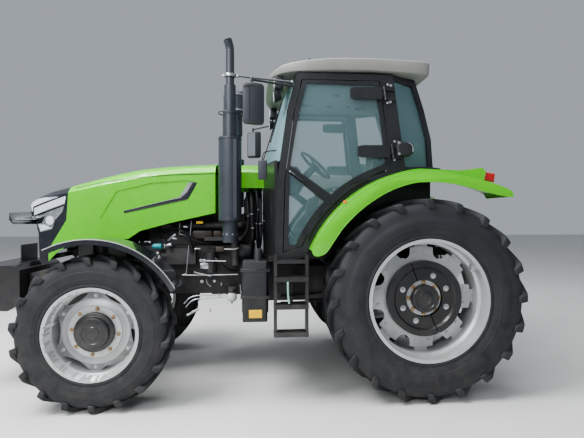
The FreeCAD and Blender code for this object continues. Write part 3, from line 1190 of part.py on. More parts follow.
helm = made("steering_wheel", steering_wheel())
helm.Placement = Placement(Vector(0, 0, 0), Rotation(Vector(0, 1, 0), -WHEEL_TILT))
bind(helm, at_x="810 - axle_back", at_z="2055.3")
node("steering_wheel", helm, placed=True)
seat_pan = slab("seat_pan", "side", [("200", "1620"), ("690", "1600"), ("700", "1690"),
                                     ("660", "1735"), ("310", "1720"), ("230", "2230"),
                                     ("150", "2260"), ("110", "2220"), ("180", "1680")],
                "0 - 245", "245")
node("seat", seat_pan)
pedestal = slab("seat_pedestal", "side", [("300", "floor_top"), ("620", "floor_top"),
                                          ("560", "1604"), ("300", "1615")], "0 - 170", "170")
console = slab("side_console", "side", [("100", "floor_top"), ("780", "floor_top"), ("860", "1600"),
                                        ("820", "1740"), ("150", "1780")],
               "0 - fender_in + 40", "0 - 330")
node("seat_base", fused("seat_base", pedestal, console))

# Rear linkage: the cross shaft's arms, the lift rods and the lower links turn together
link_run = "link_reach * cos(link_drop * 1 deg)"
link_fall = "link_reach * sin(link_drop * 1 deg)"
arm_run = "arm_reach * cos(link_drop * 1 deg)"
arm_fall = "arm_reach * sin(link_drop * 1 deg)"
rod_y = "(link_in + (link_out - link_in) * arm_reach / link_reach)"


def swung(thing, pivot):
    """Put a piece drawn from its pivot at that pivot, falling by link_drop to the rear."""
    thing.Placement = Placement(Vector(0, 0, 0), Rotation(Vector(0, 1, 0), -number("link_drop")))
    bind(thing, at_x=pivot[0], at_z=pivot[1])
    return thing


link_pivot = ("link_pivot_x", "link_pivot_z")
arm_pivot = ("link_pivot_x", "link_pivot_z + rod_length")
link_bar = swung(slab("link_bar", "plan", [
    ("0 - 20", "link_in - 12"), ("0 - link_reach + 40", "link_out - 12"),
    ("0 - link_reach + 40", "link_out + 12"), ("0 - 20", "link_in + 12")], "0 - 32", "32"), link_pivot)


def eye(name, centre, side, thick, outer, inner):
    """A ring round a crosswise pin at (x, z), centred on a place across the tractor."""
    return turned(name, "y", (centre[0], side, centre[1]), [
        (inner, "0 - %s" % thick), (outer, "0 - %s" % thick), (outer, thick), (inner, thick)])


rear_eye = ("link_pivot_x - " + link_run, "link_pivot_z - " + link_fall)
mid_pin = ("link_pivot_x - " + arm_run, "link_pivot_z - " + arm_fall)
arm_end = (mid_pin[0], mid_pin[1] + " + rod_length")
link = fused("lower_link_solid", link_bar, eye("link_front_eye", link_pivot, "link_in", "15", "38", "14.5"),
             rod("link_mid_pin", "y", (mid_pin[0], rod_y, mid_pin[1]), "60", "12"),
             rod("link_rear_boss", "y", (rear_eye[0], "link_out - 20", rear_eye[1]), "40", "link_eye"))
front_hole = rod("link_front_hole", "y", (link_pivot[0], "link_in - 60", link_pivot[1]), "120", "14.5")
rear_hole = rod("link_rear_hole", "y", (rear_eye[0], "link_out - 60", rear_eye[1]), "120", "link_bore")
link = cut("lower_link_left", link, fused("link_holes", front_hole, rear_hole))
node("lower_links", both_sides("lower_links", link))

arm_bar = swung(slab("arm_bar", "side", [
    ("10", "0 - 34"), ("0 - arm_reach", "0 - 24"), ("0 - arm_reach", "24"), ("10", "44")],
    rod_y + " - 14", rod_y + " + 14"), arm_pivot)
arm_root = rod("arm_root", "y", (arm_pivot[0], rod_y + " - 20", arm_pivot[1]), "40", "56")
arm_tip = rod("arm_tip", "y", (arm_end[0], rod_y + " - 14", arm_end[1]), "28", "30")
arm_pin = rod("arm_pin", "y", (arm_end[0], rod_y, arm_end[1]), "60", "12")
arm = fused("lift_arm_solid", arm_bar, arm_root, arm_tip, arm_pin)
arm = cut("lift_arm_left", arm, rod("arm_bore", "y", (arm_pivot[0], rod_y + " - 60", arm_pivot[1]),
                                    "120", "30.3"))
node("lift_arms", both_sides("lift_arms", arm))

rod_side = rod_y + " + 40"
rod_shaft = rod("lift_rod_shaft", "z", (mid_pin[0], rod_side, mid_pin[1] + " + 20"),
                "rod_length - 40", "16")
rod_sleeve = rod("lift_rod_sleeve", "z", (mid_pin[0], rod_side, mid_pin[1] + " + 190"), "220", "23")
rods = fused("lift_rod_left", rod_shaft, rod_sleeve,
             eye("rod_low_eye", mid_pin, rod_side, "12", "28", "12.3"),
             eye("rod_high_eye", arm_end, rod_side, "12", "28", "12.3"))
node("lift_rods", both_sides("lift_rods", rods))

hydraulic_case = slab("hydraulic_case", "side", [
    ("0 - 235", "990"), ("0 - 190", "990"), ("0 - 190", "1290"), ("0 - 310", "1290"),
    ("0 - 340", "1230"), ("0 - 330", "1130"), ("0 - 235", "1010")], "0 - 165", "165")
lift_shaft = rod("lift_shaft", "y", (arm_pivot[0], "0 - " + rod_y + " - 32", arm_pivot[1]),
                 rod_y + " * 2 + 64", "30")
link_cheek = both_sides("link_cheeks", block("link_cheek", (
    "link_pivot_x - 45", "190", "link_pivot_z - 45"), ("0 - 120", "link_in - 18", "link_pivot_z + 110")))
link_pin = both_sides("link_pins", rod("link_pin", "y", (
    link_pivot[0], "link_in - 30", link_pivot[1]), "62", "14.2"))
shaft_out = rod("power_shaft", "x", ("0 - 335", "0", "730"), "110", "17.5")
shaft_hood = slab("power_shaft_hood", "front", [
    ("0 - 95", "700"), ("0 - 95", "810"), ("0 - 70", "835"), ("70", "835"), ("95", "810"),
    ("95", "700"), ("89", "700"), ("89", "806"), ("67", "829"), ("0 - 67", "829"),
    ("0 - 89", "806"), ("0 - 89", "700")], "0 - 345", "0 - 230")
bar_hanger = block("drawbar_hanger", ("0 - 190", "0 - 62", "440"), ("0 - 110", "62", "665"))
axle_housing = NODES["rear_axle_housing"]
axle_housing.Shapes = axle_housing.Shapes + [hydraulic_case, lift_shaft, link_cheek, link_pin,
                                             shaft_out, shaft_hood, bar_hanger]

bar_plan = slab("drawbar_plan", "plan", [
    ("300", "0 - 38"), ("300", "38"), ("0 - 800", "38"), ("0 - 850", "30"), ("0 - 878", "0"),
    ("0 - 850", "0 - 30"), ("0 - 800", "0 - 38")], "400", "440")
bar_front = block("drawbar_front", ("262", "0 - 50", "440"), ("330", "50", "chassis_low"))
bar_hole = rod("drawbar_hole", "z", ("0 - 820", "0", "380"), "100", "drawbar_bore")
node("drawbar", cut("drawbar_cut", fused("drawbar_solid", bar_plan, bar_front), bar_hole))
top_link = [strut("top_link_%d" % k, a, b, r) for k, (a, b, r) in enumerate((
    (("0 - 362", "0", "1010"), ("0 - 380", "0", "1150"), 13),
    (("0 - 380", "0", "1150"), ("0 - 420", "0", "1460"), 20),
    (("0 - 420", "0", "1460"), ("0 - 436", "0", "1580"), 13)))]
top_eye = eye("top_link_eye", ("0 - 358", "985"), "0", "25", "34", "12.9")
top_end = eye("top_link_end", ("0 - 439", "1606"), "0", "22", "32", "12.9")
top_cheeks = both_sides("top_cheeks", block("top_cheek", ("0 - 400", "26", "940"),
                                            ("0 - 230", "42", "1030")))
top_pin = rod("top_pin", "y", ("0 - 358", "0 - 50", "985"), "100", "12.6")
node("top_link", fused("top_link", *top_link, top_eye, top_end))
axle_housing.Shapes = axle_housing.Shapes + [top_cheeks, top_pin]

cab_feet = [rod("cab_foot_%d_%d" % (k, j), "z", (x, y, low), "floor_top - floor_thick - %s" % low, "42")
            for k, (x, low) in enumerate((("1180", "1090"), ("100", "1085")))
            for j, y in enumerate(("120", "0 - 120"))]
cab_floor = NODES["cab_floor"]
cab_floor.Shapes = cab_floor.Shapes + cab_feet

# Every object is sound before anything is written
doc.recompute()
faults = [thing.Label for thing in doc.Objects
          if {"Invalid", "Error"} & set(thing.State)]
for label, thing in NODES.items():
    if thing.Shape.isNull() or not thing.Shape.isValid() or not thing.Shape.Solids:
        faults.append(label)
if faults:
    raise SystemExit("unsound: " + ", ".join(faults))
os.makedirs("parts", exist_ok=True)
for label, thing in NODES.items():
    thing.Shape.exportStep("parts/%s.step" % label)
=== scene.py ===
from math import cos, degrees, radians, sin, sqrt, tan, tau

import bpy
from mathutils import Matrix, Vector


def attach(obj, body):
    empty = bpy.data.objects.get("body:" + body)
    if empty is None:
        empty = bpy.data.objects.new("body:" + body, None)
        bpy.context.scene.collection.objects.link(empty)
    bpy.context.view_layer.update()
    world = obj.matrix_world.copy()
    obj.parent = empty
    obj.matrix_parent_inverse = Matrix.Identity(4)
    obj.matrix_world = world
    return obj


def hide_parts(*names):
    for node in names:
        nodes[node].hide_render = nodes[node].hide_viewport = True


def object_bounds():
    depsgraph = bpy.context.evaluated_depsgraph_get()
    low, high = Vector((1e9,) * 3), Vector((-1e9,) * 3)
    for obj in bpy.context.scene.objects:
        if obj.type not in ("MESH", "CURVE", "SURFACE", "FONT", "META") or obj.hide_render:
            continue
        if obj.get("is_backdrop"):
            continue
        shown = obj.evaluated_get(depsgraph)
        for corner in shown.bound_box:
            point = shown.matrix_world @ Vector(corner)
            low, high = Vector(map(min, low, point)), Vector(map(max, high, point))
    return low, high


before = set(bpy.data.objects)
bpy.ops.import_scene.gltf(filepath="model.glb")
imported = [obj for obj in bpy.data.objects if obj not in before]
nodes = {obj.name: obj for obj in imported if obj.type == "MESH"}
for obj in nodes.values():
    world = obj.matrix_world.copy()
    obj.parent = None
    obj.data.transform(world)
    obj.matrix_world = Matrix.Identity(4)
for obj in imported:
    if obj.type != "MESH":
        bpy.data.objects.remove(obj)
cad_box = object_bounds()

MM = 0.001
AXLE_BACK = 1.450  # metres from the frame's middle back to the rear axle
FOLD = 32  # degrees: a sharper fold than this counts as an edge
OUT = Vector((0, 1, 0))
UP = Vector((0, 0, 1))


def at(x, y, z):
    """Millimetres from the middle of the rear axle, on the ground, to a place in the frame."""
    return Vector((x * MM - AXLE_BACK, y * MM, z * MM))


def spot(place):
    """A place in the frame: one that is given in millimetres goes through at()."""
    return place if isinstance(place, Vector) else at(*place)


# ---- working by hand: selecting, editing and finishing a mesh

def in_hand():
    return bpy.context.object


def let_go():
    bpy.ops.object.select_all(action="DESELECT")


def hold(*pieces):
    let_go()
    for piece in pieces:
        piece.select_set(True)
    bpy.context.view_layer.objects.active = pieces[0]


def edit(piece):
    hold(piece)
    bpy.ops.object.mode_set(mode="EDIT")
    bpy.ops.mesh.select_all(action="SELECT")


def leave():
    bpy.ops.object.mode_set(mode="OBJECT")


def settle(piece, name):
    """The place goes into the mesh, and the object to the origin."""
    hold(piece)
    bpy.ops.object.transform_apply(location=True, rotation=True, scale=True)
    piece.name = name
    return piece


def modify(piece, kind, **values):
    hold(piece)
    modifier = piece.modifiers.new(kind.title(), kind)
    for key, value in values.items():
        setattr(modifier, key, value)
    bpy.ops.object.modifier_apply(modifier=modifier.name)
    return piece


def smooth(piece, angle=FOLD):
    hold(piece)
    bpy.ops.object.shade_smooth_by_angle(angle=radians(angle))
    return piece


def soften(piece, width=0.003, segments=2):
    """Rounds the edges and shades the piece smooth."""
    if width > 0:
        modify(piece, "BEVEL", width=width, segments=segments, limit_method="ANGLE",
               angle_limit=radians(FOLD), harden_normals=False)
    return smooth(piece)


def outwards(piece):
    edit(piece)
    bpy.ops.mesh.remove_doubles(threshold=0.00001)
    bpy.ops.mesh.normals_make_consistent(inside=False)
    leave()
    return piece


def drawn(name, points, filled=False, closed=False):
    """A line drawn from point to point, closed to a loop or filled to a face where asked."""
    points = [spot(point) for point in points]
    let_go()
    bpy.ops.mesh.primitive_plane_add(size=0.01)
    piece = in_hand()
    bpy.ops.object.mode_set(mode="EDIT")
    bpy.ops.mesh.select_all(action="SELECT")
    bpy.ops.mesh.merge(type="CENTER")
    bpy.ops.transform.translate(value=points[0])
    row = points + points[:1] if closed else points
    for here, there in zip(row, row[1:]):
        bpy.ops.mesh.extrude_region_move(TRANSFORM_OT_translate={"value": there - here})
    if closed:
        bpy.ops.mesh.select_all(action="SELECT")
        bpy.ops.mesh.remove_doubles(threshold=0.00001)
    if filled:
        bpy.ops.mesh.select_all(action="SELECT")
        bpy.ops.mesh.edge_face_add()
    leave()
    piece.name = name
    return piece


def lofted(name, rings, width=0.003, segments=2):
    """Loops bridged one to the next, with a face over each end."""
    piece = join(name, *[drawn(name, ring, closed=True) for ring in rings])
    edit(piece)
    bpy.ops.mesh.bridge_edge_loops()
    bpy.ops.mesh.select_all(action="DESELECT")
    bpy.ops.mesh.select_non_manifold(extend=False)
    bpy.ops.mesh.edge_face_add()
    leave()
    return soften(outwards(piece), width, segments)


def box(name, low, high, width=0.004, segments=2):
    let_go()
    low, high = spot(low), spot(high)
    bpy.ops.mesh.primitive_cube_add(size=1, location=(low + high) / 2, scale=high - low)
    return soften(settle(in_hand(), name), width, segments)


def drum(name, start, end, radius, end_radius=None, sides=40, width=0.002):
    let_go()
    start, end = spot(start), spot(end)
    way = end - start
    bpy.ops.mesh.primitive_cone_add(
        vertices=sides, radius1=radius, radius2=radius if end_radius is None else end_radius,
        depth=way.length, location=(start + end) / 2, rotation=way.to_track_quat("Z", "Y").to_euler())
    return soften(settle(in_hand(), name), width)


def spun(name, centre, axis, profile, steps=64, width=0.0, closed=False):
    """A profile of (out from the axis, along the axis), in millimetres, turned once round."""
    centre = spot(centre)
    out = axis.orthogonal().normalized()
    points = [centre + out * (r * MM) + axis * (a * MM) for r, a in profile]
    piece = drawn(name, points, closed=closed)
    edit(piece)
    bpy.ops.mesh.spin(steps=steps, angle=tau, center=centre, axis=axis)
    leave()
    return soften(outwards(piece), width)


def cut_out(name, outline, depth, width):
    """A flat outline given a depth, which is a vector."""
    piece = drawn(name, outline, filled=True)
    edit(piece)
    bpy.ops.mesh.extrude_region_move(TRANSFORM_OT_translate={"value": depth})
    leave()
    return soften(outwards(piece), width)


def pipe(name, points, radius, order=3, sides=3):
    """A tube along a smooth line that keeps to the points' inside."""
    piece = drawn(name, points)
    hold(piece)
    bpy.ops.object.convert(target="CURVE")
    piece = in_hand()
    line = piece.data.splines[0]
    line.type = "NURBS"
    line.use_endpoint_u = True
    line.order_u = min(order, len(points))
    line.resolution_u = 5
    piece.data.bevel_depth = radius
    piece.data.bevel_resolution = sides
    piece.data.use_fill_caps = True
    bpy.ops.object.convert(target="MESH")
    piece = in_hand()
    piece.name = name
    return smooth(piece, 50)


def ring_of(piece, count, centre, axis):
    """Copies a piece round an axis, in its own mesh."""
    edit(piece)
    bpy.ops.mesh.spin(steps=count - 1, dupli=True, angle=tau * (count - 1) / count, center=centre, axis=axis)
    leave()
    return piece


def join(name, *pieces):
    hold(*pieces)
    bpy.ops.object.join()
    piece = in_hand()
    piece.name = name
    return piece


def across(piece, name):
    """The same piece on the other side."""
    hold(piece)
    bpy.ops.object.duplicate()
    copy = in_hand()
    copy.scale.y = -1
    settle(copy, name)
    return smooth(outwards(copy))


def bolt(name, place, way, size):
    """A hexagon head on a washer."""
    place = spot(place)
    head = drum(name, place, place + way * size * 0.7, size, sides=6, width=size * 0.08)
    return join(name, head, drum(name + "_w", place, place + way * size * 0.18, size * 1.35, sides=20, width=0))


def round_turn(count):
    """Angles once round, in radians."""
    return [k * tau / count for k in range(count)]

# ---- finishes

def finish(name, colour, rough, metal=0.0, coat=0.0, tone=0.12, tone_size=3.0, grain=0.0, grain_size=400.0,
           dust=0.0, dust_top=1.2, rust=0.0, dust_colour=(0.23, 0.20, 0.16), rough_spread=0.12, sheen=0.0):
    """A painted, moulded or bare surface with uneven tone, a grain in its bump, and road dust low down."""
    made = bpy.data.materials.new(name)
    made.use_nodes = True
    tree = made.node_tree
    shader = tree.nodes["Principled BSDF"]
    shader.inputs["Metallic"].default_value = metal
    shader.inputs["Coat Weight"].default_value = coat
    shader.inputs["Coat Roughness"].default_value = 0.06
    shader.inputs["Sheen Weight"].default_value = sheen
    place = tree.nodes.new("ShaderNodeTexCoord").outputs["Object"]

    def noise(scale, detail=4.0, rough_value=0.55):
        node = tree.nodes.new("ShaderNodeTexNoise")
        node.inputs["Scale"].default_value = scale
        node.inputs["Detail"].default_value = detail
        node.inputs["Roughness"].default_value = rough_value
        tree.links.new(place, node.inputs["Vector"])
        return node.outputs["Fac"]

    def spread(value, low, high, to_low, to_high):
        node = tree.nodes.new("ShaderNodeMapRange")
        node.clamp = True
        for slot, number in zip(("From Min", "From Max", "To Min", "To Max"), (low, high, to_low, to_high)):
            node.inputs[slot].default_value = number
        tree.links.new(value, node.inputs["Value"])
        return node.outputs["Result"]

    def maths(kind, first, second):
        node = tree.nodes.new("ShaderNodeMath")
        node.operation = kind
        for slot, value in enumerate((first, second)):
            if isinstance(value, float):
                node.inputs[slot].default_value = value
            else:
                tree.links.new(value, node.inputs[slot])
        return node.outputs[0]

    def mix(amount, first, second):
        node = tree.nodes.new("ShaderNodeMix")
        node.data_type = "RGBA"
        for slot, value in zip((0, 6, 7), (amount, first, second)):
            if isinstance(value, tuple):
                node.inputs[slot].default_value = (*value, 1.0)
            else:
                tree.links.new(value, node.inputs[slot])
        return node.outputs[2]

    dark = tuple(c * (1 - tone) for c in colour)
    light = tuple(min(1.0, c * (1 + tone)) for c in colour)
    surface = mix(spread(noise(tone_size), 0.3, 0.7, 0.0, 1.0), dark, light)
    gloss = spread(noise(tone_size * 4), 0.3, 0.7, rough - rough_spread / 2, rough + rough_spread / 2)
    if rust > 0:
        stain = spread(noise(35.0, 8.0, 0.7), 0.62 - rust * 0.3, 0.72 - rust * 0.2, 0.0, 1.0)
        surface = mix(stain, surface, (0.22, 0.075, 0.02))
        gloss = maths("MAXIMUM", gloss, maths("MULTIPLY", stain, 0.8))
    if dust > 0:
        parts = tree.nodes.new("ShaderNodeSeparateXYZ")
        tree.links.new(place, parts.inputs[0])
        low_down = spread(parts.outputs["Z"], 0.1, dust_top, 1.0, 0.0)
        facing = tree.nodes.new("ShaderNodeSeparateXYZ")
        tree.links.new(tree.nodes.new("ShaderNodeNewGeometry").outputs["Normal"], facing.inputs[0])
        upwards = spread(facing.outputs["Z"], 0.2, 1.0, 0.0, 0.35)
        cover = maths("MULTIPLY", maths("MAXIMUM", low_down, upwards),
                      spread(noise(9.0, 9.0, 0.68), 0.38, 0.72, 0.0, dust))
        surface = mix(cover, surface, dust_colour)
        gloss = maths("MAXIMUM", gloss, maths("MULTIPLY", cover, 0.9))
    tree.links.new(surface, shader.inputs["Base Color"])
    tree.links.new(gloss, shader.inputs["Roughness"])
    if grain > 0:
        bump = tree.nodes.new("ShaderNodeBump")
        bump.inputs["Strength"].default_value = grain
        bump.inputs["Distance"].default_value = 0.001
        tree.links.new(noise(grain_size, 3.0), bump.inputs["Height"])
        tree.links.new(bump.outputs["Normal"], shader.inputs["Normal"])
    return made


def glazing(name, colour, clear):
    """Tinted glass: thin and clear face on, and closer to a mirror towards its edge."""
    made = finish(name, colour, 0.04, tone=0.05, rough_spread=0.02)
    made.surface_render_method = "BLENDED"
    tree = made.node_tree
    shader = tree.nodes["Principled BSDF"]
    edge = tree.nodes.new("ShaderNodeLayerWeight")
    edge.inputs["Blend"].default_value = 0.35
    ramp = tree.nodes.new("ShaderNodeMapRange")
    ramp.inputs["To Min"].default_value = clear
    ramp.inputs["To Max"].default_value = 0.95
    tree.links.new(edge.outputs["Fresnel"], ramp.inputs["Value"])
    tree.links.new(ramp.outputs["Result"], shader.inputs["Alpha"])
    return made


def glow(name, colour, rough=0.1):
    """A lamp's coloured or clear lens."""
    return finish(name, colour, rough, coat=0.8, tone=0.1, tone_size=60.0, grain=0.5, grain_size=900.0)


lime = finish("lime_paint", (0.120, 0.50, 0.018), 0.30, coat=0.45, tone=0.02, grain=0.03, grain_size=900,
        dust=0.20, dust_top=1.2)
gloss_black = finish("gloss_black_paint", (0.016, 0.019, 0.026), 0.22, coat=0.8, tone=0.15, grain=0.03,
        dust=0.30, dust_top=1.5)
cab_black = finish("cab_frame_paint", (0.017, 0.018, 0.021), 0.38, coat=0.25, tone=0.2, grain=0.08, dust=0.35,
        dust_top=1.6)
slate = finish("slate_stack_paint", (0.034, 0.040, 0.052), 0.42, coat=0.15, tone=0.15, grain=0.10, dust=0.15)
chassis = finish("chassis_paint", (0.022, 0.024, 0.028), 0.50, tone=0.25, grain=0.35, grain_size=160, dust=0.55,
        dust_top=1.5, rust=0.10)
iron = finish("weight_paint", (0.018, 0.018, 0.020), 0.40, coat=0.2, tone=0.2, grain=0.6, grain_size=120,
        dust=0.12, dust_top=1.5)
engine_paint = finish("engine_paint", (0.030, 0.030, 0.034), 0.55, tone=0.3, grain=0.6, grain_size=90, dust=0.3,
        dust_top=1.9, rust=0.05)
steel = finish("bare_steel", (0.50, 0.51, 0.53), 0.32, metal=0.9, tone=0.12, grain=0.1, rust=0.04)
silver = finish("rim_silver_paint", (0.50, 0.51, 0.52), 0.36, metal=0.35, coat=0.2, tone=0.07, grain=0.10,
        grain_size=500, dust=0.30, dust_top=1.5)
rusty = finish("rusty_bolt", (0.42, 0.33, 0.20), 0.55, metal=0.5, tone=0.3, tone_size=60, rust=0.5)
plastic = finish("moulded_plastic", (0.020, 0.022, 0.026), 0.55, tone=0.12, grain=0.5, grain_size=420, dust=0.3,
        dust_top=1.2)
mirror_shell = finish("mirror_shell_plastic", (0.040, 0.043, 0.054), 0.50, tone=0.1, grain=0.4, grain_size=420)
roof_paint = finish("roof_beige_paint", (0.235, 0.235, 0.225), 0.5, coat=0.05, tone=0.05, grain=0.12, dust=0.15)
lining = finish("cab_lining", (0.46, 0.47, 0.46), 0.85, tone=0.06, grain=0.6, grain_size=260)
trim_beige = finish("cab_trim_beige", (0.30, 0.26, 0.19), 0.75, tone=0.10, grain=0.5, grain_size=300)
white_enamel = finish("filter_enamel", (0.55, 0.57, 0.60), 0.30, coat=0.4, tone=0.08, rust=0.03)
rubber = finish("tyre_rubber", (0.020, 0.022, 0.026), 0.72, tone=0.25, tone_size=5, grain=0.5, grain_size=220,
        dust=0.42, dust_top=1.75, dust_colour=(0.10, 0.09, 0.08))
seal = finish("door_seal", (0.010, 0.010, 0.011), 0.7, tone=0.1, grain=0.3)
fabric = finish("seat_cloth", (0.045, 0.047, 0.052), 0.9, tone=0.2, grain=0.9, grain_size=700, sheen=0.4)
yellow = finish("yellow_label", (0.80, 0.50, 0.02), 0.45, coat=0.3, tone=0.08, tone_size=30)
red_lens = glow("red_lens", (0.45, 0.02, 0.015))
amber_lens = glow("amber_lens", (0.75, 0.22, 0.02))
clear_lens = glow("clear_lens", (0.62, 0.66, 0.72), 0.08)
teal_plastic = finish("teal_plastic", (0.04, 0.35, 0.40), 0.4, tone=0.1)
glass = glazing("tinted_glass", (0.30, 0.46, 0.50), 0.16)
mirror_face = finish("mirror_face", (0.75, 0.78, 0.80), 0.05, metal=1.0, tone=0.03, rough_spread=0.03)
lamp_silver = finish("lamp_bowl_silver", (0.42, 0.44, 0.47), 0.22, metal=0.7, coat=0.5, tone=0.15, tone_size=20)
lamp_dark = finish("lamp_gap_black", (0.012, 0.013, 0.016), 0.15, coat=0.6)
brown_plastic = finish("brown_plastic", (0.050, 0.036, 0.028), 0.45, tone=0.2, grain=0.3, dust=0.3, dust_top=1.9)
hose_rubber = finish("hose_rubber", (0.014, 0.014, 0.016), 0.42, coat=0.15, tone=0.3, tone_size=30, grain=0.3)
pale_teal = finish("pale_teal_plastic", (0.26, 0.46, 0.42), 0.5, tone=0.15, dust=0.3)
# pale grey finish for the front guards' top edge: a painted highlight on the gloss black lip
painted_highlight_trim = finish("pale_edge_trim", (0.30, 0.31, 0.31), 0.45, tone=0.12, dust=0.3, dust_top=1.5)


# ---- wheels: drawn on the left, then copied across

def give(piece, material, body="chassis"):
    """A piece gets its finish and the body it moves with."""
    piece.data.materials.clear()
    piece.data.materials.append(material)
    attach(piece, body)
    return piece


def both(piece, material, body="chassis"):
    """A left piece with its finish, and its copy on the right, on that side's body."""
    name = piece.name
    copy = across(piece, name.replace("_left", "_right") if "_left" in name else name + "_right")
    give(piece, material, body)
    give(copy, material, body.replace("_left", "_right"))
    return piece, copy


def on_hub(piece, material):
    """A left wheel's piece, whose name starts with its end of the tractor, and its copy on the right."""
    return both(piece, material, "wheel_%s_left" % piece.name.split("_")[0])


def on_wheel(hub, out, radius, angle):
    """A place on a wheel: along its axis, out from its middle, and round from straight ahead."""
    turn = radians(angle)
    return at(hub[0] + radius * cos(turn), hub[1] + out, hub[2] + radius * sin(turn))


# how a lug runs from the tread's middle out over the shoulder: its foot under the crown and out from the
# middle, its top under the tread and out, its lag, and the half widths of its top and its foot
LUG_PATH = (
    (3, -8, 3, -1, -0.04, 0.74, 1.06), (3, 22, 0, 22, 0.07, 0.94, 1.26), (3, 62, 1, 62, 0.30, 0.98, 1.30),
    (5, 105, 3, 106, 0.54, 1.02, 1.34), (8, 145, 5, 151, 0.76, 1.06, 1.40), (13, 171, 9, 192, 0.94, 1.10, 1.44),
    (24, 184, 18, 210, 1.01, 1.10, 1.44), (37, 188, 52, 214, 1.05, 1.04, 1.36), (56, 195, 86, 211, 1.10, 0.9, 1.2))
REAR_WHEEL = {"hub": (0, 800, 845), "radius": 845, "half": 215, "lug": 38, "bead": 492, "seat": 186,
        "count": 20, "sweep": 15.0, "bar": 28}
FRONT_WHEEL = {"hub": (2700, 800, 616), "radius": 616, "half": 172, "lug": 30, "bead": 352, "seat": 148,
        "count": 18, "sweep": 16.0, "bar": 23}


def tyre(name, hub, radius, half, lug, bead, seat, count, sweep, bar):
    crown = radius - lug
    span = crown - bead
    side = [(bead + 0.6, seat - 1), (bead + 17, seat + 1), (bead + 22, seat + 8), (bead + 30, seat + 13),
            (bead + 41, seat + 12), (bead + 47, seat + 8), (bead + span * 0.28, half - 7),
            (bead + span * 0.33, half - 6.5), (bead + span * 0.34, half - 4), (bead + span * 0.36, half - 4),
            (bead + span * 0.45, half - 2), (bead + span * 0.60, half - 3), (bead + span * 0.615, half - 6),
            (bead + span * 0.70, half - 8), (bead + span * 0.80, half - 13), (crown - 30, half - 22),
            (crown - 12, half - 40), (crown - 4, half - 75), (crown - 1, half * 0.35)]
    carcass = spun(name, hub, OUT, side + [(crown, 0)] + [(r, -a) for r, a in side[::-1]],
                   steps=120, closed=True)
    wide, deep = half / 215, lug / 38
    step = 360 / count
    bars = []
    for way, first in ((1, 0.0), (-1, step / 2)):
        rings = []
        for foot_in, foot_out, top_in, top_out, lag, top_half, foot_half in LUG_PATH:
            middle = first - 90 + degrees(bar / radius) + sweep * lag
            top_turn, foot_turn = (degrees(bar * share / radius) for share in (top_half, foot_half))
            foot = (way * foot_out * wide, crown - foot_in * deep)
            top = (way * top_out * wide, radius - top_in * deep)
            rings.append([on_wheel(hub, *foot, middle - foot_turn), on_wheel(hub, *top, middle - top_turn),
                          on_wheel(hub, *top, middle + top_turn), on_wheel(hub, *foot, middle + foot_turn)])
        bars.append(ring_of(lofted(name + "_lugs", rings, 0.005), count, at(*hub), OUT))
    return join(name, carcass, *bars)


def bolts_on(name, hub, out, radius, angles, size):
    """A hexagon bolt on its washer, modelled once and set round a wheel."""
    places = [on_wheel(hub, out, radius, angle) for angle in angles]
    heads = [bolt(name, places[0], OUT, size)]
    for place in places[1:]:
        hold(heads[0])
        bpy.ops.object.duplicate()
        copy = in_hand()
        copy.location = place - places[0]
        heads.append(settle(copy, name))
    return join(name, *heads)


def every(count, first=0.0, *beside):
    """Angles round a wheel, each with its neighbours beside it."""
    return [first + 360 / count * k + off for k in range(count) for off in (beside or (0,))]


for end, wheel in (("rear", REAR_WHEEL), ("front", FRONT_WHEEL)):
    left = tyre(end + "_tyre_rubber_left", **wheel)
    for piece in on_hub(left, rubber):
        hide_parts(end + ("_tyre_left" if piece is left else "_tyre_right"))

rear, front = REAR_WHEEL["hub"], FRONT_WHEEL["hub"]
on_hub(bolts_on("rear_disc_bolts_left", rear, -5, 384, every(8, 0, -9, 9), 0.012), silver)
on_hub(bolts_on("rear_weight_bolts_left", rear, 64, 203, [21.5, 111.5, 156.5, 201.5, 291.5, 336.5], 0.018), steel)
on_hub(bolts_on("rear_hub_bolts_left", rear, 44, 133, every(8, 0), 0.014), rusty)
on_hub(spun("rear_hub_cap_left", rear, OUT, [
    (0, 46), (117, 46), (117, 92), (114, 100), (107, 104.5), (84, 104.5), (81, 101), (58, 101), (55, 105),
    (40, 106.5), (36, 103), (20, 103), (0, 104)], 64), cab_black)


DISC_REACH, NOTCH_PLACE, NOTCH_RADIUS = 436, 411, 55


def disc_edge(angle):
    """How far the rear disc reaches, with a round notch between each two of its eight lobes."""
    off = radians((angle % 45) - 22.5)
    beside = NOTCH_PLACE * abs(sin(off))
    if beside >= NOTCH_RADIUS:
        return DISC_REACH
    return min(DISC_REACH, NOTCH_PLACE * cos(off) - sqrt(NOTCH_RADIUS ** 2 - beside ** 2))


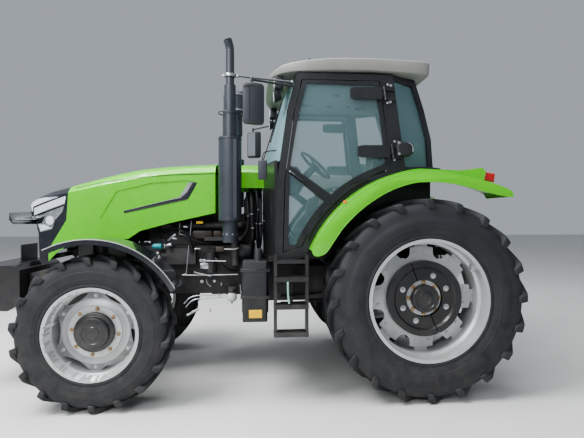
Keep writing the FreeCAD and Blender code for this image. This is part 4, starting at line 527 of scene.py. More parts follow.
on_hub(cut_out("rear_disc_left", [on_wheel(rear, -15, disc_edge(a * 1.5), a * 1.5) for a in range(240)],
        (0, 0.0098, 0), 0.002), silver)
on_hub(bolts_on("front_disc_bolts_left", front, 20, 289, every(6, 30), 0.012), silver)
on_hub(bolts_on("front_hub_bolts_left", front, 42.6, 184, every(8, 6), 0.0125), rusty)
on_hub(spun("front_hub_cap_left", front, OUT, [
    (0, 46), (157.6, 46), (157.6, 69), (155, 74), (149, 77), (132, 77.5), (126, 81), (124.5, 98), (121, 106),
    (112, 109.5), (84, 110.5), (80, 107), (52, 107), (48, 111), (20, 111.6), (0, 111.6)], 64), cab_black)
on_hub(spun("front_dish_left", front, OUT, [
    (159, 41), (159, 42.6), (204, 42.8), (211, 41.6), (224, 35), (240, 26), (252, 21.6), (264, 20.6), (264, 19)],
    96, 0, True), silver)
for side in ("left", "right"):
    hold(nodes["front_rim_" + side])
    bpy.ops.object.duplicate()
    turned_rim = outwards(in_hand())
    turned_rim.name = "front_rim_metal_" + side
    edit(turned_rim)
    bpy.ops.transform.rotate(value=radians(30), orient_axis="Y", center_override=at(
        front[0], front[1] if side == "left" else -front[1], front[2]))
    leave()
    smooth(turned_rim, 36)
    give(turned_rim, silver, "wheel_front_" + side)
    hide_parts("front_rim_" + side)
on_hub(join("rear_valve_left", lofted("foot", [
    [on_wheel(rear, o, r, a) for o, a in ((96, 143.5), (136, 143.5), (136, 149.5), (96, 149.5))]
    for r in (455, 468, 484)], 0.002),
    pipe("stem", [on_wheel(rear, o, r, 146.5) for o, r in ((120, 478), (120, 452), (150, 440))], 0.007)),
    steel)
on_hub(pipe("front_valve_left", [on_wheel(front, o, r, 201) for o, r in ((90, 344), (92, 322), (118, 312))], 0.006),
     steel)

# ---- hood, nose and lamps

def spots(points, y):
    """Side-view points of (ahead of the rear axle, above the ground) at one distance out."""
    return [at(x, y, z) for x, z in points]


def skin_of(name, *parts):
    """One merged copy of some CAD nodes, to lay thin pieces on."""
    copies = []
    for part in parts:
        hold(nodes[part])
        bpy.ops.object.duplicate()
        copies.append(in_hand())
    copy = join(name, *copies)
    copy.modifiers.clear()
    return outwards(copy)


def laid(name, points, skin, lift, depth=2.5):
    """A thin piece drawn in side view beside the hood and laid on the skin's left side."""
    piece = drawn(name, spots(points, 700), filled=True)
    edit(piece)
    bpy.ops.mesh.quads_convert_to_tris()
    bpy.ops.mesh.subdivide(number_cuts=7)
    leave()
    modify(piece, "SHRINKWRAP", target=skin, wrap_method="PROJECT", use_project_y=True,
           use_positive_direction=True, use_negative_direction=True, offset=lift * MM)
    modify(piece, "SOLIDIFY", thickness=depth * MM, offset=0)
    return smooth(outwards(piece), 40)


both(cut_out("hood_stripe_left", spots([
    (2596, 1566), (2606, 1570), (2611, 1578), (2608, 1587), (2122, 1711), (2112, 1718), (2030, 1848),
    (2020, 1855), (1962, 1845), (1955, 1838), (1957, 1829), (2036, 1700), (2046, 1690)], 379.2),
    (0, 0.004, 0), 0.0015), gloss_black, "hood")
hood_skin = skin_of("hood_skin", "hood_shell", "hood_nose", "headlamps")
for name, points, material, lift in (
        ("lamp_surround_left", [(3098, 1730), (3118, 1734), (3421, 1624), (3426, 1508), (3384, 1462), (3352, 1384),
        (3222, 1412), (3192, 1496), (3128, 1578)], gloss_black, 0.6),
        ("lamp_bowl_left", [(3110, 1716), (3120, 1719), (3408, 1613), (3411, 1516), (3372, 1467), (3344, 1394),
        (3232, 1423), (3205, 1505), (3140, 1581)], lamp_silver, 2.6),
        ("light_bar_left", [(3112, 1712), (3122, 1715), (3406, 1608), (3409, 1545), (3160, 1640), (3122, 1652)],
        clear_lens, 4.6),
        ("light_bar_line_left", [(3126, 1650), (3160, 1632), (3407, 1541), (3408, 1528), (3162, 1617), (3130, 1632)],
        lamp_dark, 4.4),
        ("lamp_gap_left", [(3400, 1508), (3296, 1540), (3330, 1478), (3368, 1472)], lamp_dark, 4.6)):
    both(laid(name, points, hood_skin, lift), material, "hood")
both(join("projector_left", laid("glass", [
    (3252 + 36 * cos(t), 1500 + 40 * sin(t)) for t in round_turn(20)], hood_skin, 8.0, 5),
    laid("low_glass", [(3240, 1432), (3338, 1404), (3364, 1466), (3300, 1462)], hood_skin, 4.8)), clear_lens, "hood")
both(laid("hood_seam_left", [(3036, 1795), (2804, 1846), (2514, 1890), (2200, 1916), (1800, 1932), (1800, 1926),
        (2200, 1910), (2514, 1884), (2804, 1840), (3036, 1788)], hood_skin, 0.4, 1), seal, "hood")
bpy.data.objects.remove(hood_skin)

# ---- stacks: the silencer's on the left, the air intake's on the right

STACK, INTAKE = (1643, 590), (1643, -590)
ways = [Vector((cos(radians(a)), sin(radians(a)), 0)) for a in range(22, 360, 45)]
give(join("can_bolts", *[bolt("b", at(*STACK, 1382) + way * 65.5 * MM, way, 0.006) for way in ways]), steel)


def band(place, z, inner, outer, high, width=0.001, steps=64):
    """A flat band round an upright stack."""
    return spun("band", at(*place, z), UP, [(inner, 0), (outer, 0), (outer, high), (inner, high)], steps, width, True)


give(join("silencer_bands", *[band(STACK, z, 99, 102.5, high, 0.0012) for z, high in (
    (1508, 14), (2204, 12), (2432, 10))]), slate)
give(join("stay_clamp", band(STACK, 2752, 41, 45, 26, steps=48), bolt("b", (1578, 598, 2765), OUT, 0.008),
        bolt("c", (1700, 598, 2765), OUT, 0.008), bolt("d", (1112, 749, 2680), OUT, 0.009)), steel)
give(join("intake_bands", band(INTAKE, 2716, 141, 145, 16), box("latch", (1670, -742, 2712), (1700, -728, 2736),
        0.003), band(INTAKE, 2890, 140, 147, 12)), steel)

# ---- engine bay, left side

give(join("vertical_pipes", pipe("a", [(2126, 300, z) for z in (1480, 1440, 1385)], 0.0045),
        pipe("b", spots([(2018, 1495), (2032, 1338), (2047, 1244), (2063, 1020), (2074, 992), (2105, 988)], 296),
        0.0055)), steel)
# each line: its run in side view, how far out, its radius
FEED_LINES = (
    ([(1884, 1123), (1790, 1121), (1699, 1118)], 322, 0.0065),
    ([(2100, 988), (1960, 986), (1829, 986), (1700, 988), (1590, 989)], 296, 0.0055),
    ([(1993, 1019), (1940, 1000), (1900, 996), (1838, 977)], 318, 0.007),
    ([(1881, 945), (1876, 920), (1868, 900), (1838, 878)], 300, 0.006),
    ([(1566, 894), (1562, 850), (1559, 806), (1543, 770)], 300, 0.008),
    ([(1713, 1231), (1640, 1230), (1606, 1230), (1569, 1246)], 322, 0.008),
    ([(2089, 720), (2060, 755), (2037, 775), (1990, 792), (1945, 797), (1701, 804)], 300, 0.0065),
    ([(2071, 690), (2048, 720), (2025, 742), (1985, 762), (1939, 769), (1690, 782)], 306, 0.0065),
    ([(2060, 612), (2010, 640), (1956, 668)], 300, 0.011),
    ([(1847, 672), (1845, 655), (1843, 640)], 300, 0.005))
give(join("feed_lines", *[pipe("line", spots(run, y), radius) for run, y, radius in FEED_LINES],
        box("clip", (1752, 292, 776), (1766, 316, 812), 0.002)), steel)
give(join("fittings", *[bolt("b", place, OUT, size) for place, size in (
    ((1896, 330, 1124), 0.014), ((1928, 318, 1126), 0.012), ((1930, 240, 918), 0.012), ((1812, 240, 920), 0.010))],
    *[drum("d", start, end, radius) for start, end, radius in (
        ((1742, 290, 885), (1742, 290, 910), 0.007), ((2235, 300, 1310), (2160, 318, 1372), 0.012),
        ((2246, 316, 1262), (2196, 322, 1280), 0.016), ((2262, 306, 1240), (2262, 306, 1282), 0.010),
        ((2148, 320, 1330), (2186, 320, 1330), 0.009), ((1986, 330, 1236), (1932, 330, 1236), 0.006))],
    box("j", (2050, 300, 1432), (2090, 312, 1444), 0.003)), steel)
give(lofted("cooler_box", [spots([(1938, 1100), (1850, 1100), (1850, 1046), (1938, 1046)], y)
        for y in (238, 300, 312)], 0.005), steel)
give(join("cooler_foot", box("a", (1858, 236, 1022), (1930, 290, 1046), 0.004),
        box("b", (1866, 228, 1100), (1922, 262, 1112), 0.003)), chassis)
give(join("control_boxes", box("a", (1831, 214, 1330), (2009, 276, 1403), 0.006),
        box("b", (1738, 214, 1330), (1819, 270, 1400), 0.006),
        box("c", (1714, 210, 1206), (1795, 316, 1254), 0.006)), brown_plastic)
give(join("teal_plug", drum("a", (2357, 316, 1262), (2287, 322, 1262), 0.024, sides=24),
        drum("b", (2372, 314, 1262), (2357, 316, 1262), 0.014)), teal_plastic)
give(box("yellow_tag", (1911, 290, 1468), (1976, 300, 1492), 0.003), yellow)
give(join("bleed_cap", drum("a", (2395, 300, 1300), (2395, 322, 1300), 0.010),
        drum("b", (2330, 318, 1205), (2316, 318, 1190), 0.012)), white_enamel)
give(spun("sediment_bowl", (1642, 325, 740), UP, [
    (0, 0), (20, 1), (36, 8), (45, 22), (47, 42), (44, 62), (38, 74), (30, 78), (30, 92), (0, 92)], 40), white_enamel)
give(join("bowl_head", drum("a", (1642, 325, 826), (1642, 325, 858), 0.034), box("b", (1606, 200, 846),
        (1678, 340, 872), 0.005), drum("c", (1642, 325, 722), (1642, 325, 742), 0.008)), engine_paint)
give(lofted("air_box", [spots([(1356, 1290), (1500, 1300), (1536, 1400), (1536, 1700), (1500, 1780), (1356, 1786)], y)
        for y in (-270, -240, 20, 60)], 0.02, 3), plastic)
give(join("air_box_ribs", *[box("rib", (1352, -200, z), (1544, 64, z + 12), 0.004) for z in (1420, 1560, 1690)]),
     cab_black)
# each hose: the places it runs by, and its radius
HOSES = (
    ([(2123, 330, 1366), (2080, 340, 1366), (2043, 334, 1340), (2020, 330, 1280), (2012, 300, 1200)], 0.017),
    ([(1420, 330, 1790), (1400, 356, 1700), (1392, 352, 1560), (1420, 350, 1440), (1400, 330, 1300),
      (1392, 300, 1180)], 0.016),
    ([(1470, 300, 1800), (1448, 360, 1660), (1460, 372, 1520), (1440, 368, 1400), (1450, 330, 1260),
      (1466, 280, 1150)], 0.020),
    ([(1380, 420, 1700), (1372, 430, 1560), (1384, 420, 1420), (1366, 410, 1300), (1390, 390, 1210)], 0.012),
    ([(1500, 280, 1760), (1494, 340, 1620), (1478, 350, 1480), (1500, 330, 1380), (1560, 290, 1320)], 0.014),
    ([(1860, 230, 1180), (1800, 300, 1150), (1740, 320, 1080), (1690, 300, 1030), (1600, 240, 1020)], 0.012),
    ([(2200, 240, 1450), (2140, 310, 1420), (2080, 316, 1400), (1990, 300, 1300), (1900, 250, 1290)], 0.011),
    ([(2320, 240, 1350), (2290, 300, 1330), (2230, 312, 1290), (2180, 300, 1200), (2170, 240, 1120)], 0.010),
    ([(1352, 700, 1500), (1360, 640, 1440), (1372, 560, 1360), (1380, 460, 1290), (1400, 330, 1250)], 0.009))
give(join("engine_hoses", *[pipe("hose", run, radius, 4, 4) for run, radius in HOSES]), hose_rubber)
# each clip: its place, the hose's way there, and the hose's radius
CLIPS = (
    ((1394, 353, 1600), (0.05, 0, 1), 17), ((1455, 370, 1560), (0, 0.1, 1), 21), ((1377, 424, 1470), (0, 0, 1), 13),
    ((1412, 349, 1470), (-0.2, 0, 1), 18), ((1446, 369, 1430), (0.1, 0, 1), 21), ((1487, 345, 1540), (0.1, 0, 1), 15))
give(join("hose_clips", *[spun("clip", place, Vector(way).normalized(), [
    (r, -5), (r + 2, -5), (r + 2, 5), (r, 5)], 24, 0.0, True) for place, way, r in CLIPS]), steel)
give(lofted("intake_elbow", [
    [(x, 400 + r * cos(t), z + r * sin(t)) for t in round_turn(20)]
    for x, z, r in ((1572, 1222, 44), (1560, 1222, 60), (1470, 1214, 62), (1452, 1212, 46))], 0.004), plastic)

# ---- tanks, steps and mirrors

give(lofted("blank_label", [spots([(1476, 771), (1370, 771), (1370, 704), (1476, 704)], y) for y in (859.6, 861.4)],
        0.0006, 1), yellow)
give(join("tank_straps", *[box("strap", (1305, 600, z), (1545, 863, z + 26), 0.003) for z in (860, 1080)]),
     cab_black)
both(join("tread_grips_left", *[box("bar", (x, 842, z), (x + 8, 938, z + 4), 0.001, 1)
        for z in (600, 824, 1046) for x in range(1034, 1240, 22)]), cab_black)
give(pipe("hanging_strip", [(1162, 938, 1006), (1163, 947, 992), (1162, 948, 930), (1158, 948, 872),
        (1152, 948, 836)], 0.0085), pale_teal)
both(cut_out("mirror_glass_left", [(1424, 953.5, 2284), (1514, 1003, 2284), (1514, 1003, 2558),
        (1424, 953.5, 2558)], (-0.001, 0.002, 0), 0), mirror_face)
both(join("mirror_seam_left", pipe("seam", [(1470, 1043, z) for z in (2290, 2420, 2552)], 0.0025),
        pipe("top", [(1440, 1042.5, 2556), (1500, 1043, 2556), (1516, 1043, 2540)], 0.002)), plastic)
both(join("small_mirror_left", box("shell", (1328, 842, 1838), (1402, 868, 1998), 0.012, 3),
        pipe("arm", [(1366, 855, 1990), (1368, 852, 2050), (1330, 820, 2080), (1250, 806, 2085)], 0.006)),
     mirror_shell)

# ---- fenders, guards and lamps at the back

both(lofted("side_reflector_left", [
    [(706 + r * 17 * cos(t), y, 1653 + r * 12 * sin(t)) for t in round_turn(24)]
    for y, r in ((984.8, 1.0), (989, 1.0), (991, 0.8))], 0.001), amber_lens)
both(lofted("tail_lens_left", [spots([
    (-505 - g, 1908 - g), (-588 + g, 1896 - g), (-578 + g, 1824 + g), (-488 - g, 1843 + g)], y)
    for y, g in ((842, 0), (922, 0), (926, 5))], 0.003), red_lens)
# a pale grey strip along the front guard's top edge, which is a painted highlight on the gloss black lip
both(join("guard_edge_left", pipe("edge", [on_wheel(front, 187.5, 744, a) for a in range(63, 152, 4)], 0.0045)),
     painted_highlight_trim, "steer_left")
ridges = [spun("ridge", on_wheel(rear, 6, 1108, a), Vector((-sin(radians(a)), 0, cos(radians(a)))),
        [(0, -5), (12, -5), (14.5, 0), (12, 5), (0, 5)], 20, 0) for a in range(27, 66)]
both(join("fender_bead_left", *ridges), seal)


def curved(points, cuts=4):
    """More points on a smooth line through the ones given."""
    row = [points[0], *points, points[-1]]
    found = []
    for k in range(1, len(row) - 2):
        p = [Vector(row[k + j]) for j in (-1, 0, 1, 2)]
        for t in [j / cuts for j in range(cuts)]:
            found.append(0.5 * (2 * p[1] + (p[2] - p[0]) * t + (2 * p[0] - 5 * p[1] + 4 * p[2] - p[3]) * t ** 2
                                + (3 * p[1] - p[0] - 3 * p[2] + p[3]) * t ** 3))
    return found + [Vector(points[-1])]


def round_axle(radius, angle):
    """A side-view point at a distance and an angle from the rear axle."""
    return radius * cos(radians(angle)), 845 + radius * sin(radians(angle))


def tail(*places):
    """Side-view points of (behind the rear axle, below the fender's top)."""
    return [(-back, 1905 - down) for back, down in places]


fender_crown = curved([round_axle(1060, a) for a in range(24, 100, 4)] + tail(
    (310, 43), (440, 71), (530, 95), (616, 124), (690, 157), (712, 196)))
fender_low = curved(tail((704, 207), (571, 186), (439, 156), (352, 133), (221, 104)) + [round_axle(r, a) for r, a in (
    (977, 95), (975, 87), (972, 80), (960, 70), (946, 60), (939, 50), (936, 40), (934, 32), (940, 27), (953, 24.4),
    (986, 22.4), (1024, 21.7), (1056, 23))])
both(join("fender_face_left", cut_out("face", spots(fender_crown + fender_low, 984.9), (0, 0.0022, 0), 0.0008),
        pipe("roll", spots(fender_crown, 983.4), 0.005), pipe("hem", spots(fender_low, 984.5), 0.0035)), lime)

# ---- cab: seat, lining and controls

def stuffed(name, length, width, depth, channels, cap=0.024):
    """A cushion lying flat, blown up as cloth between its seams; its sewn lines stay down."""
    cage = box(name, Vector((-length / 2, -width / 2, 0)), Vector((length / 2, width / 2, depth)), 0.028, 4)
    modify(cage, "REMESH", mode="VOXEL", voxel_size=0.007)
    smooth(cage, 60)
    before = [point.co.copy() for point in cage.data.vertices]
    kept = cage.vertex_groups.new(name="sewn")
    kept.add([k for k, p in enumerate(before) if p.z < 0.004 or abs(p.z - depth * 0.55) < 0.005
              or (p.z > depth * 0.9 and min(abs(p.y - line) for line in channels) < 0.006)], 1.0, "REPLACE")
    cloth = cage.modifiers.new("filling", "CLOTH")
    cloth.settings.use_pressure = True
    cloth.settings.uniform_pressure_force = 4
    cloth.settings.effector_weights.gravity = 0
    cloth.settings.vertex_group_mass = "sewn"
    cloth.settings.tension_stiffness = cloth.settings.compression_stiffness = 12
    for step in range(1, 21):
        bpy.context.scene.frame_set(step)
    hold(cage)
    bpy.ops.object.modifier_apply(modifier="filling")
    for point, start in zip(cage.data.vertices, before):
        moved = point.co - start
        if moved.length > cap:
            point.co = start + moved * (cap / moved.length)
    bpy.context.scene.frame_set(1)
    modify(cage, "SUBSURF", levels=1)
    smooth(cage, 60)
    corner, rim = 0.028, []
    for x, y, first in ((1, 1, 0), (-1, 1, 90), (-1, -1, 180), (1, -1, 270)):
        for turn in (0, 30, 60, 90):
            angle = radians(first + turn)
            rim.append(Vector(((length / 2 - corner) * x + corner * cos(angle),
                               (width / 2 - corner) * y + corner * sin(angle), depth * 0.55)))
    cords = [pipe(name + "_cord", rim + rim[:2], 0.003, 2)]
    cords += [pipe(name + "_cord", [Vector((x, line, depth + 0.0005)) for x in (
        0.03 - length / 2, 0, length / 2 - 0.03)], 0.0018) for line in channels]
    return cage, join(name + "_piping", *cords)


for name, size, place, turn in (("seat_cushion", (0.45, 0.45, 0.084), (452, 0, 1634), -2.5),
        ("seat_back", (0.49, 0.44, 0.072), (184, 0, 1984), 81.1)):
    for piece in stuffed(name, *size, (-0.13, 0.0, 0.13)):
        piece.rotation_euler = (0, radians(turn), 0)
        piece.location = at(*place)
        settle(piece, piece.name)
        give(piece, hose_rubber if piece.name.endswith("piping") else fabric)
seat_shell = join("seat_shell", lofted("pan", [spots(
    [(205, 1612), (690, 1600), (698, 1640), (660, 1652), (230, 1636)], y) for y in (-232, 232)], 0.012, 3), lofted(
    "back", [spots([(112, 2222), (150, 2258), (176, 2246), (196, 2120), (222, 1720), (205, 1640), (184, 1680)], y)
        for y in (-228, 228)], 0.014, 3))
give(seat_shell, plastic)
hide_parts("seat")
give(join("seat_bellows", *[box("fold", (330, -140, z), (570, 140, z + 26), 0.011, 3)
        for z in range(1470, 1590, 30)]), seal)

vents = [box("vent", (823, -240, 2706), (940, -160, 2714), 0.006)]
for x, y, r in ((631, -200, 34), (431, -200, 34), (280, -260, 62), (631, 240, 34), (431, 240, 34)):
    vents.append(spun("vent", (x, y, 2714), -UP, [(0, 3), (r * 0.5, 3), (r * 0.55, 7), (r * 0.85, 8), (r, 0)], 32))
give(join("ceiling_vents", *vents), plastic)
give(join("headliner", box("board", (44, -556, 2712), (1090, 556, 2734), 0.01, 3),
        box("console", (960, -300, 2690), (1092, 300, 2716), 0.012, 3)), lining)
give(lofted("arm_console", [spots([(829, 2012), (560, 1992), (353, 1990), (345, 1872), (600, 1840), (739, 1797),
        (800, 1850)], y) for y in (-478, -332)], 0.018, 4), lining)
give(lofted("side_trim", [spots([(734, 1776), (454, 1834), (353, 1864), (330, 1560), (700, 1499), (721, 1560)], y)
        for y in (-329, -322)], 0.004), trim_beige)
give(join("arm_rest_foot", box("a", (560, -420, 1740), (640, -380, 1860), 0.006)), plastic)
give(join("arm_controls", *[piece for x, y, h in ((700, -440, 66), (660, -440, 60), (610, -380, 44), (570, -440, 40))
        for piece in (drum("rod", (x, y, 1985), (x + 10, y, 2004 + h), 0.004, sides=12),
        drum("knob", (x + 9, y, 2000 + h), (x + 14, y, 2026 + h), 0.011, 0.008,
        20, 0.003))], box("pad", (420, -450, 1988), (540, -360, 1998), 0.004)),
     plastic)
give(join("knob_caps", drum("a", (713, -440, 2090), (715, -440, 2096), 0.008, sides=20),
        box("b", (450, -440, 1997), (474, -420, 2001), 0.002)), amber_lens)
give(join("gear_lever", pipe("rod", [(560, 215, 1192), (600, 222, 1420), (640, 225, 1560), (646, 225, 1640)],
        0.008), drum("knob", (645, 225, 1630), (648, 225, 1690), 0.019, 0.015, 24, 0.007),
        pipe("brake", [(967, 40, 1619), (1000, 46, 1566), (1037, 52, 1514)], 0.005)), steel)
give(join("binnacle", lofted("hood", [spots([(1140, 1930), (1000, 1924), (972, 1985), (1020, 2036), (1150, 1992)], y)
        for y in (-150, -120, 120, 150)], 0.014, 3),
        pipe("stalk", [(905, 0, 1970), (910, 90, 1985), (905, 165, 2002)], 0.006),
        pipe("stalk", [(905, 0, 1970), (910, -90, 1985), (905, -165, 2002)], 0.006),
        spun("boot", (1000, 0, 1847), Vector((-0.6749, 0, 0.7379)), [(68, -60), (66, -20), (56, 30), (44, 70)], 32)),
     plastic)
give(cut_out("gauge_glass", [(991, y, z) for y, z in ((-110, 1946), (110, 1946), (110, 1990), (-110, 1990))],
        (-0.012, 0, -0.004), 0.002), lamp_dark)
give(join("pedals", *[piece for y in (-120, -40, 110) for piece in (
    box("pad", (975, y, 1296), (985, y + 56, 1362), 0.003),
    pipe("arm", [(984, y + 28, 1320), (1040, y + 28, 1340), (1110, y + 28, 1460)], 0.007))]), chassis)
give(join("floor_mat", box("mat", (612, -520, 1190.4), (1090, 520, 1196), 0.002),
        *[box("rib", (632, y, 1195.6), (1075, y + 10, 1199), 0.001, 1) for y in range(-500, 501, 40)]), seal)

# ---- doors, screen and lamps on the cab

def touch(part, start, way):
    """Where a straight line from a place first meets a CAD node."""
    met, place, _, _ = nodes[part].ray_cast(Vector(start), Vector(way).normalized())
    assert met, part
    return place


door_face = [touch("door_frame_left", at(x, 1300, z), (0, -1, 0)) for x, z in (
    (1134, 1910), (1108, 1892), (1052, 1853), (1024, 1834))]
both(join("door_handle_left",
        pipe("grip", [door_face[0] - OUT * 0.004, door_face[1] + OUT * 0.009, door_face[2] + OUT * 0.009,
        door_face[3] - OUT * 0.004], 0.008),
        drum("lock", door_face[0], door_face[0] + OUT * 0.006, 0.013)), gloss_black, "door_left")
both(drum("lock_barrel_left", door_face[0] + OUT * 0.006, door_face[0] + OUT * 0.009, 0.007, sides=24), steel,
     "door_left")
both(lofted("hinge_cover_left", [[(x + g * sx, y, z + g * sz) for x, z, sx, sz in (
    (222, 2046, -1, 1), (110, 2052, 1, 1), (80, 2072, 1, 1), (74, 2140, 1, -1), (96, 2166, 1, -1), (222, 2182, -1, -1))]
    for y, g in ((776, 0), (814, 0), (824, 7))], 0.008, 3), plastic)
both(join("hinge_bits_left", *[bolt("b", (x, y, z), OUT, 0.009) for x, y, z in (
    (238, 796, 2176), (206, 824, 2160), (240, 796, 2020), (206, 824, 2068), (290, 768, 2668), (262, 768, 2660),
    (292, 768, 2512), (266, 768, 2520))],
    pipe("rim", [(128, 826, 2164), (100, 826, 2152), (84, 826, 2128), (88, 826, 2086)], 0.004)), steel)
both(join("mirror_heads_left", lofted("head", [[(1440 + (x - 1440) * k, 1000 + (y - 1000) * k, z) for x, y in (
    (1353, 980), (1362, 963), (1424, 956), (1512, 1004), (1523, 1020), (1514, 1041), (1430, 1040), (1358, 996))]
    for z, k in ((2259, 0.78), (2266, 0.92), (2284, 1), (2558, 1), (2575, 0.92), (2582, 0.78))], 0.007, 3),
    pipe("arm", [(1106.7, 748.2, 2640), (1452, 1000, 2610)], 0.009, 2),
    drum("drop", (1452, 1000, 2628), (1452, 1000, 2570), 0.012, sides=24)), mirror_shell)
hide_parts("mirrors")
screen = [touch("windscreen", at(2200, y, z), (-1, 0, 0)) for y, z in ((-60, 2070), (-40, 2190), (120, 2560))]
give(join("wiper", pipe("arm", [screen[0] + Vector((0.02, 0, -0.02)), screen[0] + Vector((0.03, 0, 0)),
        screen[1] + Vector((0.026, 0, 0)), screen[2] + Vector((0.016, 0, 0))], 0.005),
        pipe("blade", [touch("windscreen", at(2200, y, z), (-1, 0, 0)) + Vector((0.008, 0, 0)) for y, z in (
        (30, 2280), (80, 2400), (140, 2520), (190, 2640))], 0.006),
        drum("pivot", screen[0] + Vector((-0.002, 0, -0.02)), screen[0] + Vector((0.03, 0, -0.02)), 0.016)), seal)
both(join("work_lamps_left", box("shell", (1180, 500, 2650), (1256, 640, 2754), 0.012, 3),
        box("foot", (1196, 542, 2740), (1224, 598, 2761), 0.003),
        drum("low", (1196, 600, 2590), (1262, 600, 2584), 0.030, 0.056, 32, 0.004),
        pipe("arm", [(1226, 600, 2650), (1222, 600, 2620), (1210, 600, 2594)], 0.008),
        box("tail_body", (-585, 842, 1826), (-500, 846, 1895), 0.004)), plastic)
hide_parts("lamps")
both(join("work_lenses_left", box("upper", (1250, 512, 2662), (1262, 628, 2742), 0.004),
        spun("low", (1262, 600, 2584), Vector((1, 0, -0.09)).normalized(), [(0, 6), (30, 5), (48, 1), (53, -4)], 32)),
     clear_lens)
# half the roof's plan, and its side band: how far ahead, its low edge and its upper edge
ROOF_PLAN = ((1318, 0), (1316, 240), (1306, 430), (1268, 580), (1205, 680), (1120, 735), (980, 757), (760, 766),
        (420, 766), (120, 762), (-30, 756), (-80, 742), (-102, 712), (-110, 660), (-112, 380), (-112, 0))
ROOF_EDGE = ((-112, 2774, 2880), (-30, 2774, 2884), (270, 2792, 2894), (595, 2794, 2900), (893, 2784, 2880),
        (1178, 2770, 2844), (1318, 2778, 2812))


def roof_edge(x, upper):
    """The low or the upper edge of the roof's side band at a place along the cab."""
    for here, there in zip(ROOF_EDGE, ROOF_EDGE[1:]):
        if x <= there[0]:
            share = (x - here[0]) / (there[0] - here[0])
            return here[1 + upper] + (there[1 + upper] - here[1 + upper]) * share
    return ROOF_EDGE[-1][1 + upper]


def roof_ring(inset, upper, rise):
    """The roof's plan, drawn in from its edge and lifted."""
    middle, half_length, half_width = 603, 715, 766
    half = [(middle + (x - middle) * (1 - inset / half_length), y * (1 - inset / half_width)) for x, y in ROOF_PLAN]
    return [at(x, y, roof_edge(x, upper) + rise) for x, y in half + [(x, -y) for x, y in half[-2:0:-1]]]


give(lofted("cab_roof_shell", [roof_ring(*row) for row in (
    (60, 0, -12), (26, 0, -8), (6, 0, 0), (0, 1, -10), (12, 1, 0), (120, 1, 8), (420, 1, 17), (700, 1, 19))], 0.004),
    roof_paint)
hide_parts("cab_roof")
give(drum("aerial_stub", (960, 690, 2862), (960, 690, 2901), 0.012, 0.009, sides=24), plastic)

# ---- back and underside

give(join("power_shaft", drum("stub", (-392, 0, 640), (-462, 0, 640), 0.0175, sides=24),
        drum("collar", (-392, 0, 640), (-412, 0, 640), 0.05, sides=40, width=0.004),
        *[box("key", (-460, -2.5, 656), (-410, 2.5, 661), 0.0005, 1)]), steel)
give(cut_out("shaft_guard", [(-396, y, z) for y, z in (
    (-95, 640), (-95, 730), (-70, 752), (70, 752), (95, 730), (95, 640), (90, 640), (90, 727), (67, 747), (-67, 747),
    (-90, 727), (-90, 640))], (-0.10, 0, 0), 0.001), yellow)
couplers, caps = [], []
for side in (-1, 1):
    for k in range(4):
        y, z = side * (118 + 46 * (k % 2)), 1010 + 62 * (k // 2)
        couplers.append(drum("coupler", (-396, y, z), (-436, y, z), 0.019, sides=24))
        caps.append(drum("cap", (-434, y, z), (-446, y, z), 0.021, 0.016, 24))
give(join("couplers", *couplers, *[box("block", (-412, s * 141 - 54, 980), (-392, s * 141 + 54, 1104), 0.004)
        for s in (-1, 1)]), steel)
give(join("coupler_caps", *caps), amber_lens)
give(join("underside_hoses", *[pipe("hose", line, r, 4) for line, r in (
    ([(1180, 218, 700), (900, 222, 690), (500, 222, 740), (280, 210, 820)], 0.011),
    ([(1180, 222, 760), (960, 226, 760), (620, 226, 800), (300, 214, 900)], 0.009),
    ([(1180, -222, 760), (900, -226, 730), (520, -226, 780), (300, -214, 900)], 0.011))]), hose_rubber)


# ---- the CAD solids that stay: each gets its finish and clean shading, and softly broken edges where its row gives a width

def dress(name, material, edge):
    solid = nodes[name]
    solid.data.materials.clear()
    solid.data.materials.append(material)
    for face in solid.data.polygons:
        face.use_smooth = True
    weld = solid.modifiers.new("weld", "WELD")
    weld.merge_threshold = 0.00002
    if edge > 0:
        flat = solid.modifiers.new("flat", "DECIMATE")
        flat.decimate_type = "DISSOLVE"
        flat.angle_limit = radians(0.6)
        bevel = solid.modifiers.new("edge", "BEVEL")
        bevel.width = edge
        bevel.segments = 2
        bevel.limit_method = "ANGLE"
        bevel.angle_limit = radians(FOLD)
        bevel.use_clamp_overlap = True
    split = solid.modifiers.new("split", "EDGE_SPLIT")
    split.split_angle = radians(FOLD + 6)
    split.use_edge_sharp = False


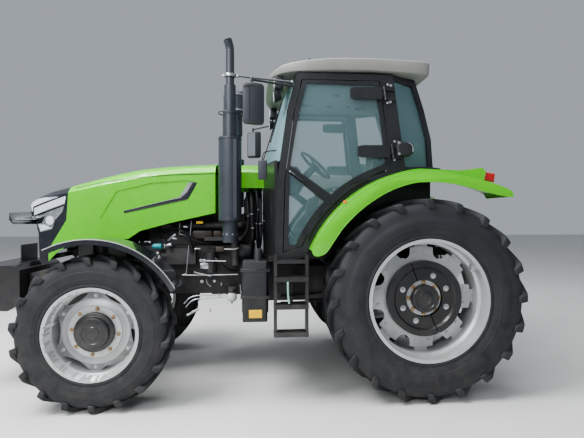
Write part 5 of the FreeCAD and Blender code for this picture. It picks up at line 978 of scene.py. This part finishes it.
# each row: the finish, how wide the broken edge is, and the solids
for material, edge, solids in (
        (chassis, 0, "rear_axle_housing radiator front_axle_beam drawbar knuckle_left knuckle_right lift_arms"),
        (chassis, 0, "lower_links"),
        (chassis, 0.002, "front_frame"), (chassis, 0.004, "gearbox_housing"), (engine_paint, 0.004, "engine_block"),
        (engine_paint, 0, "engine_pipes engine_filters"), (slate, 0, "exhaust_stack intake_stack"),
        (iron, 0, "front_weights wheel_weight_left wheel_weight_right"), (lime, 0, "rear_cowl rear_fenders hood_shell"),
        (cab_black, 0, "cab_frame cab_floor boarding_steps door_frame_left door_frame_right"),
        (roof_paint, 0.005, "cab_roof"), (glass, 0, "windscreen rear_glass door_glass_left door_glass_right"),
        (plastic, 0, "steering_wheel"), (plastic, 0.004, "lamps"), (plastic, 0.006, "side_tank dashboard seat_base"),
        (plastic, 0.012, "fuel_tank"), (mirror_shell, 0, "mirrors"), (fabric, 0.02, "seat"),
        (steel, 0, "top_link lift_rods"), (gloss_black, 0, "hood_nose front_guard_left front_guard_right"),
        (clear_lens, 0, "headlamps"), (rubber, 0, "front_tyre_left front_tyre_right rear_tyre_left rear_tyre_right"),
        (silver, 0, "front_rim_left front_rim_right rear_rim_left rear_rim_right")):
    for name in solids.split():
        dress(name, material, edge)


# ---- camera, floor and light

let_go()
bpy.ops.object.camera_add(location=(-0.025, 4.46, 1.54))
camera = in_hand()
turned, tipped = radians(4.8), radians(0.39)
sight = Vector((-sin(turned), -cos(turned), -tan(tipped)))
camera.rotation_euler = sight.to_track_quat("-Z", "Y").to_euler()
camera.data.lens = 27.04
camera.data.sensor_width = 36
camera.data.clip_start = 0.05
camera.data.clip_end = 200
bpy.context.scene.camera = camera

bpy.ops.mesh.primitive_plane_add(size=60, location=(0, 0, 0))
floor = in_hand()
floor.name = "floor"
floor.data.materials.append(finish("pale_floor", (0.62, 0.62, 0.61), 0.8, tone=0.03, tone_size=0.6, grain=0.1))
floor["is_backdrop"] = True

world = bpy.data.worlds.new("studio")
bpy.context.scene.world = world
world.use_nodes = True
world.node_tree.nodes["Background"].inputs["Color"].default_value = (0.80, 0.86, 0.93, 1)
world.node_tree.nodes["Background"].inputs["Strength"].default_value = 0.42


def softbox(name, place, target, width, height, power):
    let_go()
    bpy.ops.object.light_add(type="AREA", location=place)
    lamp = in_hand()
    lamp.name = name
    lamp.data.shape = "RECTANGLE"
    lamp.data.size, lamp.data.size_y = width, height
    lamp.data.energy = power
    lamp.rotation_euler = (Vector(target) - Vector(place)).to_track_quat("-Z", "Y").to_euler()


softbox("key_light", (4.5, 2.5, 8.0), (0, 0, 1.2), 4, 4, 1100)
softbox("side_light", (3.5, 7.5, 5.0), (0, 0, 1.2), 6, 3, 330)
softbox("top_light", (0.5, 0.5, 8.5), (0, 0, 1), 7, 5, 420)

bpy.context.scene.view_settings.look = "AgX - Medium High Contrast"

size = {"cad": [list(corner) for corner in cad_box], "visual": [list(corner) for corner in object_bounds()]}
